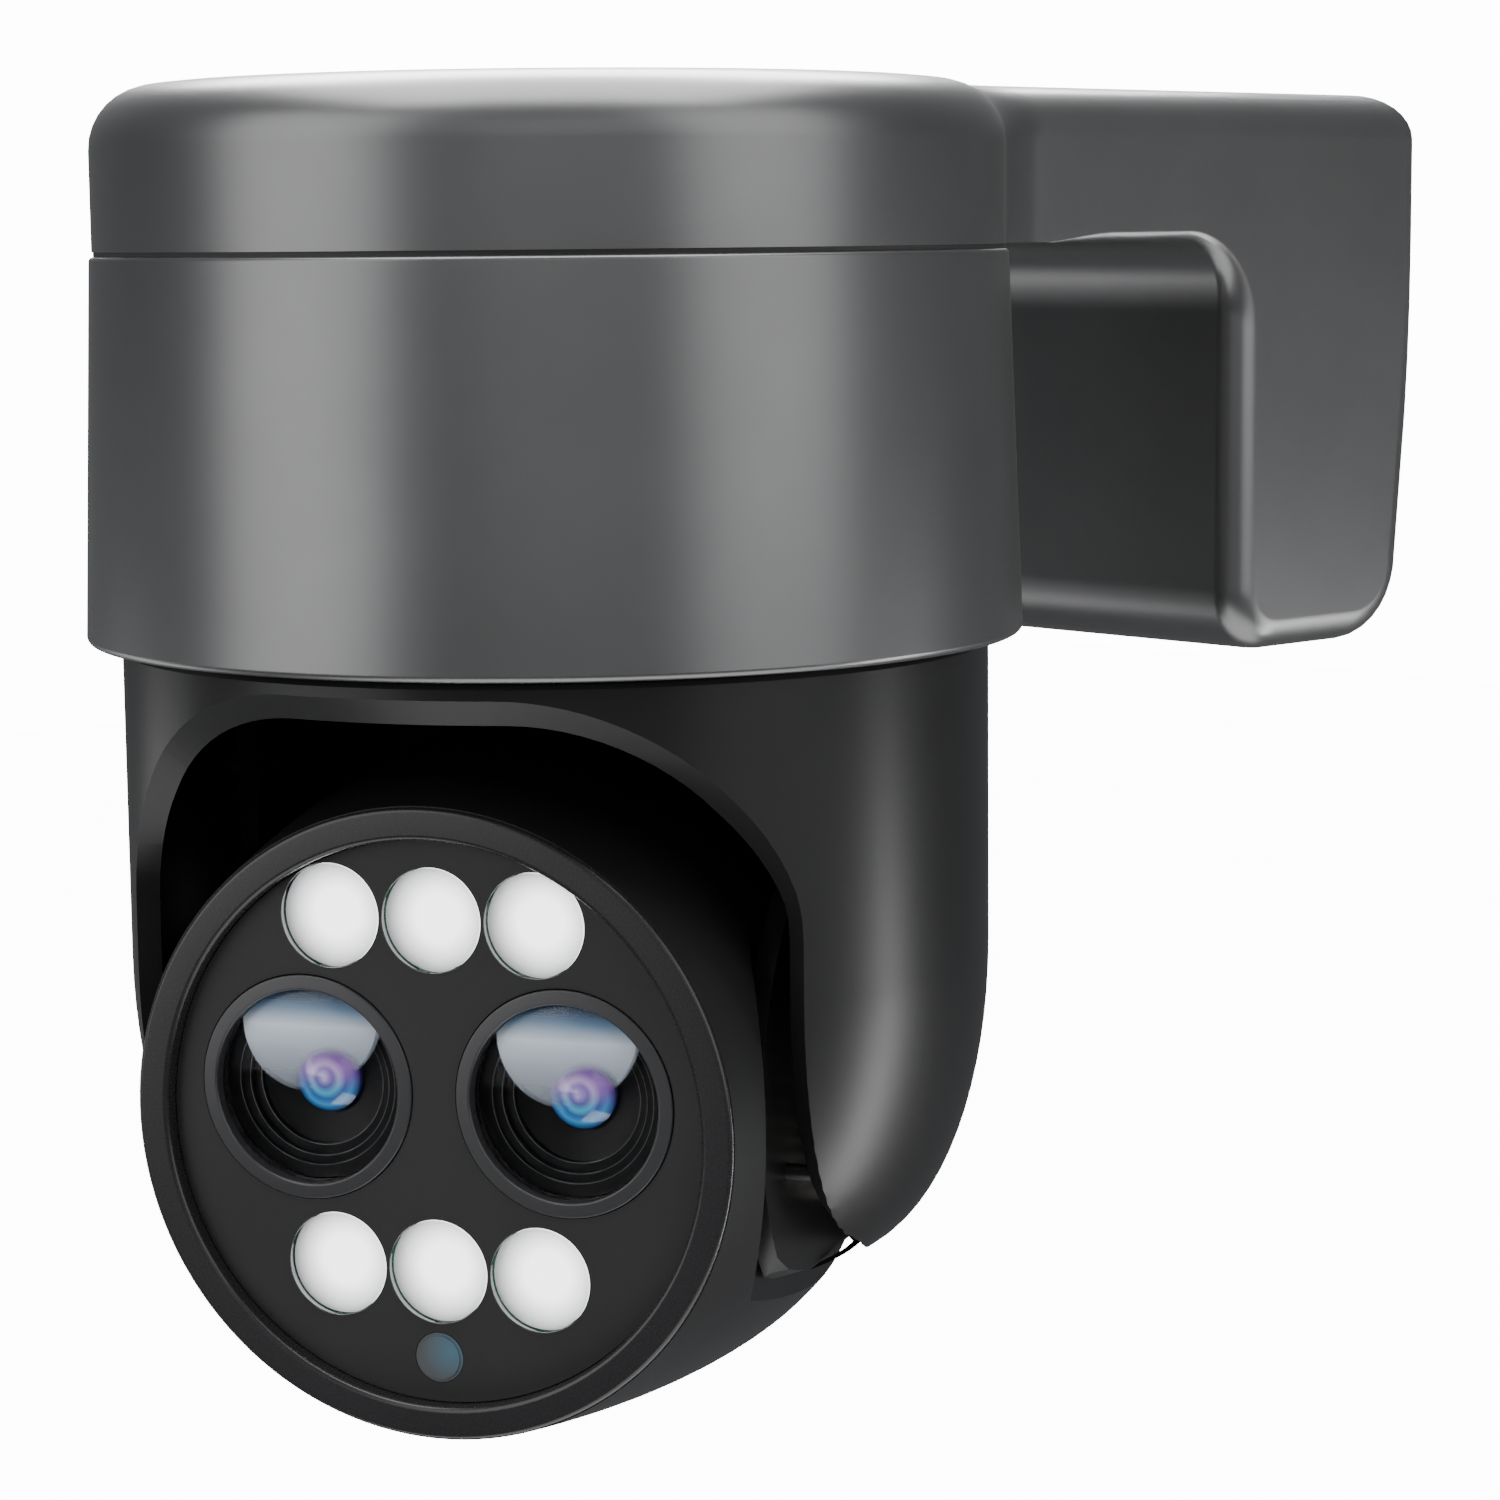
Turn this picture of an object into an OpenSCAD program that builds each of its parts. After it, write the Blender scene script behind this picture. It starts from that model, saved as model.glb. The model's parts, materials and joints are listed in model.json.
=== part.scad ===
// Wall-mounted pan and tilt camera with two lenses.
// Millimetres, +Z up. The wall is the plane y = 0 and the camera reaches out along -Y.
// The origin is the centre of the wall plate's back face.

/* [Bracket] */
// Distance from the wall to the pan axis
reach = 136; // [130:1:145]
// Width of the arm and foot
arm_w = 62; // [58:1:66]
// Depth of the foot, measured out from the wall
foot_depth = 38.5; // [37:0.5:40]
// Height of the cap above the seam
cap_h = 20.5; // [20:0.5:24]
// Height of the arm above the seam
arm_h = 19.5; // [18:0.5:20]
// Wall thickness of the bracket
bracket_wall = 2.6; // [2.4:0.1:3]

/* [Base housing] */
// Bottom radius of the base housing
base_r = 60; // [60:0.5:61]
// Height of the base housing
base_h = 49; // [48.5:0.5:50]

/* [Yoke] */
// Outer radius of the yoke
yoke_r = 55.6; // [55.2:0.1:56]
// Wall thickness of the yoke
yoke_wall = 3; // [2.8:0.1:3.2]
// Half width of the front opening at its inner edge
opening_half = 40.5; // [40:0.5:41]
// Depth of the tilt axis below the seam
tilt_drop = 104.5; // [104:0.5:106]

/* [Head] */
// Radius of the ball
ball_r = 45.4; // [45:0.1:46]
// Radius of the front rim
rim_r = 38.8; // [38.6:0.1:39.2]
// Distance from the tilt axis to the front rim
rim_d = 45; // [44.4:0.2:45.4]
// Radius of the face plate
face_r = 34.7; // [34.6:0.1:34.9]
// Half the distance between the two lenses
lens_x = 16.8; // [16.6:0.1:17]
// Outer radius of the ring round a lens
lens_ring_r = 13.9; // [13.6:0.1:14]
// Radius of one lamp lens
lamp_r = 6.35; // [6:0.05:6.4]

/* [Pose] */
// Pan angle of the head at rest, turned from straight out
pan_rest = 29; // [0:1:29]

/* [Hidden] */
$fn = 64;
e = 0.02;

// Heights
seam_z = 16;
seam_gap = 0.6;
base_bottom = -base_h;
yoke_top = base_bottom - 0.6;
foot_bottom = -58;

// Wall plate and its fixings
plate_w = 54;
plate_h = 54;
plate_t = 2.5;
hole_dx = 38;
hole_dz = 38;
tab_z = -26.5;
lock_x = 15;
lock_y = 18;

// Base housing
base_wall = 2.6;
base_top_r = 58.3;
cap_r = 57.9;
cap_fillet = 8;
flange_screw_r = 50;

// Pan drive
gear_module = 0.8;
pan_teeth = 60;
pinion_teeth = 15;
pan_gear_r = gear_module * pan_teeth / 2;
pinion_r = gear_module * pinion_teeth / 2;
pan_centres = pan_gear_r + pinion_r;
chassis_z = base_bottom + 6;
chassis_t = 3;
pan_gear_z = chassis_z + 6.2;
pan_gear_t = 5;
motor_z = pan_gear_z + pan_gear_t + 1.6;
motor_h = 14;
motor_r = 14;
motor_ear = 18;
motor_angle = 100;
board_z = -9;
board_t = 1.6;
board_r = 45;
post_r = 48;

// Pan bearing
bearing_or = 18.5;
bearing_ir = 12.5;
bearing_h = 7;
ball_pitch_r = 15.5;
bearing_ball_r = 1.7;
hub_bore = 8;

// Yoke, in the frame of the tilt axis: x sideways, -y to the front
yoke_straight = 89.2;
opening_round = 30;
opening_top = 54.7;
bevel = 3;
slot_half = 35.6;
cheek_t = 2.6;
swing_r = 32.8;
sweep_half = 42.4;
sweep_top = 28.5;
rear_edge = 100;

// Tilt drive
tilt_teeth = 40;
tilt_pinion_teeth = 14;
tilt_gear_r = gear_module * tilt_teeth / 2;
tilt_pinion_r = gear_module * tilt_pinion_teeth / 2;
tilt_centres = tilt_gear_r + tilt_pinion_r;
tilt_gear_x = 39.2;
tilt_gear_t = 3.4;
tilt_motor_r = 10;
tilt_motor_x = 43.6;
tilt_motor_t = 6;
tilt_motor_ear = 13;
tilt_motor_angle = 15;
trunnion_r = 6;

// Head
head_wall = 2.4;
flat_x = 34.8;
pocket_r = 33;
split_d = -7;
face_d = rim_d - 2.2;
face_t = 2.2;
lamp_pitch = 13.3;
lamp_top_z = 24.8;
lamp_low_z = -18.5;
lens_z = 3.4;
card_x = 9.6;
card_y = -14;
card_seat = sqrt(pow(ball_r, 2) - pow(card_y, 2) - pow(card_x, 2)) - 1.3;
sensor_z = -29.2;
sensor_r = 3.1;
window_r = 12.05;
core_r = 4.35;

// A metric screw with a round socket head, its tip down and its head's underside at z = 0
module screw(d, len, head_h = 0, head_r = 0) {
    hh = head_h > 0 ? head_h : d * 0.7;
    hr = head_r > 0 ? head_r : d * 0.95;
    difference() {
        union() {
            translate([0, 0, -len]) cylinder(r = d / 2, h = len + e, $fn = 24);
            cylinder(r = hr, h = hh, $fn = 24);
        }
        translate([0, 0, hh * 0.4]) cylinder(r = d * 0.42, h = hh, $fn = 6);
    }
}

// Involute gear outline
function involute(r, rb) = r <= rb ? 0 : sqrt(pow(r / rb, 2) - 1) * 180 / PI - acos(rb / r);
function tooth_half(r, rp, rb, n) = 90 / n * 0.9 + involute(rp, rb) - involute(r, rb);
function flank_r(k, root, tip) = root + (tip - root) * k / 3;
module gear_outline(n) {
    rp = gear_module * n / 2;
    rb = rp * cos(20);
    tip = rp + gear_module * 0.92;
    root = rp - gear_module * 1.25;
    polygon([for (i = [0 : n - 1], s = [-1, 1], k = [0 : 3])
        let (r = s < 0 ? flank_r(k, root, tip) : flank_r(3 - k, root, tip),
             a = 360 * i / n + s * tooth_half(r, rp, rb, n))
        r * [cos(a), sin(a)]]);
}

// Places: the pan axis at the seam, the yoke's frame at the tilt axis, and the head's front
module at_pan() {
    translate([0, -reach, seam_z]) children();
}
module at_yoke() {
    at_pan() rotate([0, 0, pan_rest]) children();
}
module at_tilt() {
    at_yoke() translate([0, 0, -tilt_drop]) children();
}
// Turns +Z to the head's front, so that x stays sideways and y becomes height
module facing() {
    at_tilt() rotate([90, 0, 0]) children();
}
module around(n, r, start = 0) {
    for (i = [0 : n - 1]) rotate([0, 0, start + 360 * i / n]) translate([r, 0, 0]) children();
}

// A rectangle with round corners, centred
module round_rect(w, h, r) {
    union() {
        square([w - 2 * r, h], center = true);
        square([w, h - 2 * r], center = true);
        for (x = [-1, 1], y = [-1, 1]) translate([x * (w / 2 - r), y * (h / 2 - r)]) circle(r);
    }
}

// ---- Bracket ----

// Side outline of the arm and foot, x out of the wall and y up from the seam
module arm_side(inset = 0) {
    top = arm_h - inset;
    low = foot_bottom + inset;
    front = foot_depth - inset;
    under = inset > 0 ? inset : 0;
    inner_round = 10;
    difference() {
        union() {
            translate([-e, under]) square([reach + e, top - under - 6]);
            translate([6, top - 6 - e]) square([reach - 6, 6 + e]);
            translate([6, top - 6]) circle(6);
            translate([-e, low + 12]) square([front + e, top - low - 18]);
            translate([12, low]) square([front - 21, 14]);
            translate([12, low + 12]) circle(12);
            translate([front - 9, low + 9]) circle(9);
            translate([front - e, under - inner_round]) square([inner_round, inner_round + e]);
        }
        translate([front + inner_round, under - inner_round]) circle(inner_round);
    }
}

// Plan of the arm with its flared root at the cap
module arm_plan(inset = 0) {
    half = arm_w / 2 - inset;
    flare_r = 20 + inset;
    big = cap_r - inset;
    flare_y = sqrt(pow(big + flare_r, 2) - pow(half + flare_r, 2));
    root_half = big * (half + flare_r) / (big + flare_r);
    union() {
        translate([-half, 0]) square([2 * half, reach + e]);
        circle(big);
        difference() {
            translate([-root_half, 0]) square([2 * root_half, flare_y]);
            for (s = [-1, 1]) translate([s * (half + flare_r), flare_y]) circle(flare_r);
        }
    }
}

module cap_solid(inset = 0) {
    r = cap_r - inset;
    h = cap_h - inset;
    f = cap_fillet - inset;
    rotate_extrude() union() {
        square([r, h - f]);
        square([r - f, h]);
        intersection() {
            translate([r - f, h - f]) circle(f);
            square([r, h]);
        }
    }
}

module arm_solid(inset = 0) {
    intersection() {
        translate([0, 0, foot_bottom - 5]) linear_extrude(120) arm_plan(inset);
        translate([-60, reach, 0]) rotate([90, 0, 90]) linear_extrude(120)
            mirror([1, 0]) arm_side(inset);
        union() {
            translate([0, reach + 1, -20]) rotate([90, 0, 0]) linear_extrude(reach + 1)
                round_rect(arm_w - 2 * inset, 2 * (arm_h + 20 - inset), 6 - inset);
            translate([-60, -60, foot_bottom]) cube([120, 110, arm_h - foot_bottom - inset - 2]);
        }
    }
}

module bracket_shell() {
    color("dimgray") at_pan() difference() {
        union() {
            cap_solid();
            arm_solid();
        }
        // Hollow inside, open at the seam and at the wall
        difference() {
            union() {
                translate([0, 0, -e]) cap_solid(bracket_wall);
                intersection() {
                    arm_solid(bracket_wall);
                    translate([-60, 30, foot_bottom]) cube([120, reach, 120]);
                }
                translate([-arm_w / 2 + bracket_wall, 40, bracket_wall])
                    cube([arm_w - 2 * bracket_wall, 30, arm_h - 2 * bracket_wall - 3]);
            }
            around(4, flange_screw_r, 45) translate([0, 0, -1]) cylinder(r = 4.2, h = cap_h);
            for (s = [-1, 1]) translate([s * lock_x, reach - lock_y, foot_bottom])
                cylinder(r = 4.6, h = tab_z - seam_z - foot_bottom - 0.3);
        }
        // The open back, where the wall plate sits
        translate([-plate_w / 2 - 0.3, reach - 4, -plate_h / 2 - seam_z - 0.3])
            cube([plate_w + 0.6, 6, plate_h + 0.6]);
        around(4, flange_screw_r, 45) translate([0, 0, -1]) cylinder(r = 1.25, h = 10, $fn = 24);
        for (s = [-1, 1]) translate([s * lock_x, reach - lock_y, foot_bottom - 1]) {
            cylinder(r = 1.7, h = 30, $fn = 24);
            cylinder(r = 3.4, h = 4, $fn = 24);
        }
    }
}

// ---- Wall fixing ----

module wall_plate() {
    color("silver") difference() {
        union() {
            rotate([90, 0, 0]) linear_extrude(plate_t) round_rect(plate_w, plate_h, 5);
            translate([-22, -lock_y - 6, tab_z]) cube([44, lock_y + 6, 2.5]);
            for (s = [-1, 1]) translate([s * 20.75 - 1.25, -18, tab_z]) cube([2.5, 18, 12]);
        }
        for (x = [-1, 1], z = [-1, 1]) translate([x * hole_dx / 2, 1, z * hole_dz / 2])
            rotate([90, 0, 0]) cylinder(r = 2.5, h = plate_t + 2, $fn = 32);
        translate([0, 1, 0]) rotate([90, 0, 0]) cylinder(r = 11, h = plate_t + 2);
        for (s = [-1, 1]) translate([s * lock_x, -lock_y, tab_z - 1]) cylinder(r = 1.6, h = 5, $fn = 24);
    }
}

module lock_screws() {
    color("silver") for (s = [-1, 1]) translate([s * lock_x, -lock_y, foot_bottom + seam_z + 3])
        mirror([0, 0, 1]) screw(3, tab_z - foot_bottom - seam_z + 0.5, 1.8, 3);
}

module cable_grommet() {
    color("black") rotate([90, 0, 0]) rotate_extrude() difference() {
        union() {
            translate([4.2, 0]) square([6.7, 2.5]);
            translate([4.2, 2.5]) square([9, 1.8]);
            translate([4.2, 4.3]) polygon([[0, 0], [4, 0], [1.4, 5], [0, 5]]);
        }
    }
}

// ---- Base housing ----

module seam_gasket() {
    color("black") at_pan() translate([0, 0, -seam_gap]) difference() {
        cylinder(r = base_top_r - 0.6, h = seam_gap);
        translate([0, 0, -1]) cylinder(r = 45.5, h = 3);
        around(4, flange_screw_r, 45) translate([0, 0, -1]) cylinder(r = 1.7, h = 3, $fn = 24);
    }
}

module base_housing() {
    top = -seam_gap;
    color("dimgray") at_pan() difference() {
        rotate_extrude() polygon([
            [21, base_bottom], [base_r - 0.5, base_bottom], [base_r, base_bottom + 0.5],
            [base_top_r, top - 0.3], [base_top_r - 0.3, top], [45.5, top], [45.5, top - 2.4],
            [base_top_r - base_wall, top - 2.4], [base_r - base_wall, base_bottom + 2.5],
            [21, base_bottom + 2.5]]);
        around(4, flange_screw_r, 45) translate([0, 0, -5]) cylinder(r = 1.7, h = 8, $fn = 24);
        around(4, post_r, 0) translate([0, 0, base_bottom - 1]) {
            cylinder(r = 1.35, h = 5, $fn = 24);
            cylinder(r = 2.6, h = 2.5, $fn = 24);
        }
    }
}

module housing_screws() {
    color("silver") at_pan() around(4, flange_screw_r, 45) translate([0, 0, -seam_gap - 2.4])
        mirror([0, 0, 1]) screw(2.5, 8);
}

module pan_chassis() {
    color("gray") at_pan() difference() {
        union() {
            translate([0, 0, chassis_z]) cylinder(r = 54, h = chassis_t);
            translate([0, 0, chassis_z - 3.5]) cylinder(r = 21, h = 3.5 + chassis_t + 2);
            around(4, post_r, 0) translate([0, 0, base_bottom + 2.5]) cylinder(r = 4, h = 6);
            // Posts that carry the main board
            around(4, 41, 50) translate([0, 0, chassis_z + e]) cylinder(r = 3, h = board_z - chassis_z - e);
            // Posts that carry the motor's two ears
            rotate([0, 0, motor_angle]) translate([pan_centres, 0, 0]) for (s = [-1, 1])
                translate([0, s * motor_ear, chassis_z]) cylinder(r = 3, h = motor_z - chassis_z);
        }
        translate([0, 0, chassis_z - 3.5 - 1]) cylinder(r = bearing_ir + 2.5, h = 20);
        translate([0, 0, chassis_z - 2]) cylinder(r = bearing_or, h = 20);
        rotate([0, 0, motor_angle]) translate([pan_centres, 0, 0]) for (s = [-1, 1])
            translate([0, s * motor_ear, motor_z - 6]) cylinder(r = 1, h = 7, $fn = 24);
        around(4, 41, 50) translate([0, 0, board_z - 6]) cylinder(r = 1, h = 7, $fn = 24);
        around(4, post_r, 0) translate([0, 0, base_bottom]) cylinder(r = 1.25, h = 20, $fn = 24);
    }
}

module chassis_screws() {
    color("silver") at_pan() around(4, post_r, 0) translate([0, 0, base_bottom + 1.5])
        mirror([0, 0, 1]) screw(2.5, 6, 1.3, 2.4);
}

module main_board() {
    color("darkgreen") at_pan() difference() {
        translate([0, 0, board_z]) cylinder(r = board_r, h = board_t);
        translate([0, 0, board_z - 1]) cylinder(r = hub_bore + 2, h = 5);
        around(4, 41, 50) translate([0, 0, board_z - 1]) cylinder(r = 1.3, h = 5, $fn = 24);
    }
}

module board_parts() {
    color("black") at_pan() translate([0, 0, board_z + board_t]) {
        translate([-9, -31, 0]) cube([18, 18, 1.6]);
        translate([-24, -26, 0]) cube([10, 12, 1.2]);
        translate([14, 16, 0]) cube([16, 12, 6]);
        translate([-30, 14, 0]) cube([12, 8, 6]);
        for (i = [0 : 2]) translate([24, -14 + 9 * i, 0]) cylinder(r = 3.2, h = 6, $fn = 24);
        for (i = [0 : 3]) translate([-38 + 2 * i, -6 + 6 * i - 3, 0]) cube([5, 3, 1]);
    }
}

module board_screws() {
    color("silver") at_pan() around(4, 41, 50) translate([0, 0, board_z + board_t]) screw(2, 6);
}

module pan_motor() {
    color("silver") at_pan() rotate([0, 0, motor_angle]) translate([pan_centres, 0, motor_z])
    difference() {
        union() {
            cylinder(r = motor_r, h = motor_h);
            for (s = [-1, 1]) hull() {
                translate([0, s * motor_ear, 0]) cylinder(r = 3.2, h = 1, $fn = 24);
                translate([0, s * 8, 0]) cylinder(r = 5, h = 1, $fn = 24);
            }
            translate([motor_r - 6, -7, 2]) cube([8, 14, 9]);
        }
        translate([0, 0, -1]) cylinder(r = 1.55, h = motor_h - 1, $fn = 24);
        for (s = [-1, 1]) translate([0, s * motor_ear, -1]) cylinder(r = 1.3, h = 3, $fn = 24);
    }
}

module pan_motor_screws() {
    color("silver") at_pan() rotate([0, 0, motor_angle]) translate([pan_centres, 0, motor_z + 1])
        for (s = [-1, 1]) translate([0, s * motor_ear, 0]) screw(2, 6);
}

module bearing_groove() {
    rotate_extrude() translate([ball_pitch_r, 0]) circle(bearing_ball_r + 0.06);
}

module pan_bearing_outer() {
    color("silver") at_pan() translate([0, 0, chassis_z - 2]) difference() {
        cylinder(r = bearing_or, h = bearing_h);
        translate([0, 0, -1]) cylinder(r = ball_pitch_r + 1, h = bearing_h + 2);
        translate([0, 0, bearing_h / 2]) bearing_groove();
    }
}

module pan_bearing_balls() {
    color("white") at_pan() translate([0, 0, chassis_z - 2 + bearing_h / 2])
        around(16, ball_pitch_r) sphere(bearing_ball_r, $fn = 24);
}

module pan_bearing_inner() {
    color("silver") at_yoke() translate([0, 0, chassis_z - 2]) difference() {
        cylinder(r = ball_pitch_r - 1, h = bearing_h);
        translate([0, 0, -1]) cylinder(r = bearing_ir, h = bearing_h + 2);
        translate([0, 0, bearing_h / 2]) bearing_groove();
    }
}

// ---- Pan drive ----

module pan_pinion() {
    color("white") at_pan() rotate([0, 0, motor_angle]) translate([pan_centres, 0, pan_gear_z]) union() {
        difference() {
            rotate([0, 0, 180 / pinion_teeth + 180]) linear_extrude(pan_gear_t) gear_outline(pinion_teeth);
            translate([0, 0, -1]) cylinder(r = 1.5, h = pan_gear_t + 2, $fn = 24);
        }
        cylinder(r = 1.5, h = pan_gear_t + 10, $fn = 24);
    }
}

module pan_gear() {
    color("white") at_pan() rotate([0, 0, motor_angle]) translate([0, 0, pan_gear_z]) difference() {
        linear_extrude(pan_gear_t) gear_outline(pan_teeth);
        translate([0, 0, -1]) cylinder(r = bearing_ir + 0.03, h = pan_gear_t + 2);
        around(6, 17.5) translate([0, 0, -1]) cylinder(r = 2.6, h = pan_gear_t + 2, $fn = 24);
    }
}

module yoke_hub() {
    top = pan_gear_z + pan_gear_t + 4;
    color("gray") at_yoke() difference() {
        union() {
            translate([0, 0, yoke_top]) cylinder(r = 19.5, h = 2.2);
            translate([0, 0, yoke_top]) cylinder(r = bearing_ir + 1.8, h = chassis_z - 2 - yoke_top);
            translate([0, 0, yoke_top]) cylinder(r = bearing_ir, h = top - yoke_top);
        }
        translate([0, 0, yoke_top - 1]) cylinder(r = hub_bore, h = top - yoke_top + 2);
        around(4, 16.9, 45) translate([0, 0, yoke_top - 1]) cylinder(r = 1.25, h = 4, $fn = 24);
    }
}

module gear_nut() {
    color("silver") at_yoke() translate([0, 0, pan_gear_z + pan_gear_t]) difference() {
        cylinder(r = 15.2, h = 2.4);
        translate([0, 0, -1]) cylinder(r = bearing_ir, h = 5);
        around(4, 15.6) translate([0, 0, -1]) cylinder(r = 1.4, h = 5, $fn = 24);
    }
}

module hub_screws() {
    color("silver") at_yoke() around(4, 16.9, 45) translate([0, 0, yoke_top - yoke_wall])
        mirror([0, 0, 1]) screw(2.5, 5, 1.5, 2.2);
}

// ---- Yoke ----

// The yoke's body of revolution: a straight wall above a flattened dome
dome_drop = 38.5;
dome_in = 16.5;
module yoke_profile(inset = 0) {
    r = yoke_r - inset;
    low = -yoke_straight;
    polygon(concat([[0, yoke_top - inset], [r - (inset > 0 ? 0 : 0.6), yoke_top - inset]],
        inset > 0 ? [] : [[r, yoke_top - 0.6]],
        [for (a = [0 : 10 : 90]) [r - dome_in * (1 - cos(a)), low - (dome_drop - inset) * sin(a)]],
        [[0, low - dome_drop + inset]]));
}

// The front opening, seen from the front: straight sides under a round arch
module opening_shape(grow = 0) {
    half = opening_half + grow;
    top = -opening_top + grow;
    r = opening_round - bevel + grow;
    low = -tilt_drop - 60;
    union() {
        translate([-half, low]) square([2 * half, top - r - low]);
        translate([-half + r, top - r - e]) square([2 * half - 2 * r, r + e]);
        for (s = [-1, 1]) translate([s * (half - r), top - r]) circle(r);
    }
}

module opening_cut() {
    // The opening itself, from the front back to the arms' faces
    rotate([90, 0, 0]) translate([0, 0, swing_r - 0.2]) linear_extrude(60) opening_shape();
}

// Bevel round the opening, in thin steps that follow the curved wall
module opening_bevel() {
    steps = 6;
    for (i = [1 : steps])
        intersection() {
            rotate([90, 0, 0]) translate([0, 0, 20]) linear_extrude(60) opening_shape(bevel * i / steps);
            difference() {
                translate([0, 0, -150]) cylinder(r = 80, h = 120);
                translate([0, 0, -151]) cylinder(r = yoke_r - bevel + bevel * (i - 0.5) / steps, h = 122);
            }
        }
}

// Space swept by the drum's sides as the head tilts
module sweep_ring(x0, x1) {
    translate([0, 0, -tilt_drop]) rotate([0, 90, 0]) translate([0, 0, x0]) difference() {
        cylinder(r = ball_r + 14, h = x1 - x0);
        translate([0, 0, -1]) cylinder(r = swing_r, h = x1 - x0 + 2);
    }
}

// Side outline of an arm's inner face: a disc round the tilt axis under a straight neck
module cheek_shape(r, top) {
    union() {
        circle(r);
        translate([-r / 2, 0]) square([1.5 * r, top]);
    }
}

module yoke_shell() {
    inner_r = yoke_r - yoke_wall;
    neck = tilt_drop + yoke_top - yoke_wall;
    color([0.1, 0.1, 0.1]) at_yoke() difference() {
        rotate_extrude() yoke_profile();
        opening_cut();
        opening_bevel();
        // Room for the head between the cheeks, front to back wall
        intersection() {
            translate([0, 0, -160]) cylinder(r = inner_r, h = 160 + yoke_top - yoke_wall);
            translate([-slot_half - cheek_t, -70, -160]) cube([2 * (slot_half + cheek_t), 140, 160]);
        }
        // The front of the neck is open to the outer wall, above the drum's path
        intersection() {
            translate([0, 0, -160]) cylinder(r = inner_r, h = 160 + yoke_top - yoke_wall);
            translate([-60, -75, -tilt_drop + sweep_top]) cube([120, 75 - swing_r / 2 - 0.6, 160]);
        }
        // Both arms are hollow
        for (s = [-1, 1]) intersection() {
            translate([0, 0, -160]) rotate_extrude() difference() {
                translate([0, 160]) yoke_profile(yoke_wall);
                square([1, 1]);
            }
            translate([0, 0, -tilt_drop]) difference() {
                rotate([90, 0, 90]) translate([0, 0, s > 0 ? 30 : -60])
                    linear_extrude(30) cheek_shape(swing_r - 3, neck);
                cheek_places() difference() {
                    translate([0, 0, slot_half + cheek_t]) cylinder(r = 3, h = 30);
                    cylinder(r = 1, h = slot_half + 8, $fn = 24);
                }
            }
        }
        // Swept space at the front and below, and behind the ball
        intersection() {
            sweep_ring(-sweep_half, sweep_half);
            translate([-60, -70, -tilt_drop - 70]) cube([120, 140, 70 + sweep_top]);
            translate([-60, -70, -tilt_drop - 70]) cube([120, 70, 200]);
        }
        // The back wall ends above the arms' tips in a wide arch
        rotate([-90, 0, 0]) translate([0, 0, swing_r + 2]) linear_extrude(40)
            mirror([0, 1]) translate([0, -rear_edge - 30]) union() {
                square([2 * slot_half - 20, 60], center = true);
                square([2 * slot_half, 40], center = true);
                for (x = [-1, 1]) translate([x * (slot_half - 10), 20]) circle(10);
            }
        translate([0, 0, yoke_top - 5]) cylinder(r = hub_bore, h = 10);
        around(4, 16.9, 45) translate([0, 0, yoke_top - 5]) cylinder(r = 1.5, h = 10, $fn = 24);
    }
}

// Where the cheeks are screwed to the arms, +Z outwards from the pan axis
module cheek_places() {
    for (s = [-1, 1], p = [[-23, -8], [23, -8], [-11, 38], [23, 38]]) translate([0, p[0], p[1]])
        rotate([0, 90 * s, 0]) children();
}

module motor_pillars(r, from, to) {
    rotate([-tilt_motor_angle, 0, 0]) for (y = [-1, 1]) translate([from, y * tilt_motor_ear, tilt_centres])
        rotate([0, 90, 0]) cylinder(r = r, h = to - from, $fn = 24);
}

module cheek(s) {
    neck = tilt_drop + yoke_top - yoke_wall - 0.2;
    translate([0, 0, tilt_drop]) intersection() {
        rotate_extrude() yoke_profile(0.4);
        translate([0, 0, -tilt_drop]) cheek_plate(s, neck);
    }
}

module cheek_plate(s, neck) {
    difference() {
        union() {
            rotate([90, 0, 90]) translate([0, 0, s > 0 ? slot_half : -slot_half - cheek_t])
                linear_extrude(cheek_t) cheek_shape(swing_r - 0.4, neck);
            // Pillars that carry the tilt motor
            if (s > 0) motor_pillars(2.6, slot_half + 1, tilt_motor_x);
        }
        if (s > 0) motor_pillars(1, slot_half + 1.5, tilt_motor_x + 1);
        rotate([0, 90, 0]) translate([0, 0, -60]) cylinder(r = trunnion_r + 2.6, h = 120);
        cheek_places() {
            cylinder(r = 1.1, h = 60, $fn = 24);
            cylinder(r = 2.1, h = slot_half + 1.4, $fn = 24);
        }
    }
}

module cheek_left() {
    color([0.1, 0.1, 0.1]) at_tilt() cheek(-1);
}

module cheek_right() {
    color([0.1, 0.1, 0.1]) at_tilt() cheek(1);
}

module cheek_screws() {
    color("silver") at_tilt() cheek_places() translate([0, 0, slot_half + 1.4])
        mirror([0, 0, 1]) screw(2, 4.5, 1.3, 2);
}

module tilt_bushes() {
    color("white") at_tilt() for (s = [-1, 1]) rotate([0, 90 * s, 0]) translate([0, 0, slot_half - 0.4])
        difference() {
            union() {
                cylinder(r = trunnion_r + 2.6, h = 3);
                cylinder(r = trunnion_r + 4, h = 0.4);
            }
            translate([0, 0, -1]) cylinder(r = trunnion_r + 0.06, h = 6);
        }
}

// Turns with the tilt motor's place: its centre stands on +Z from the tilt axis
module at_tilt_drive() {
    at_tilt() rotate([-tilt_motor_angle, 0, 0]) children();
}

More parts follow.
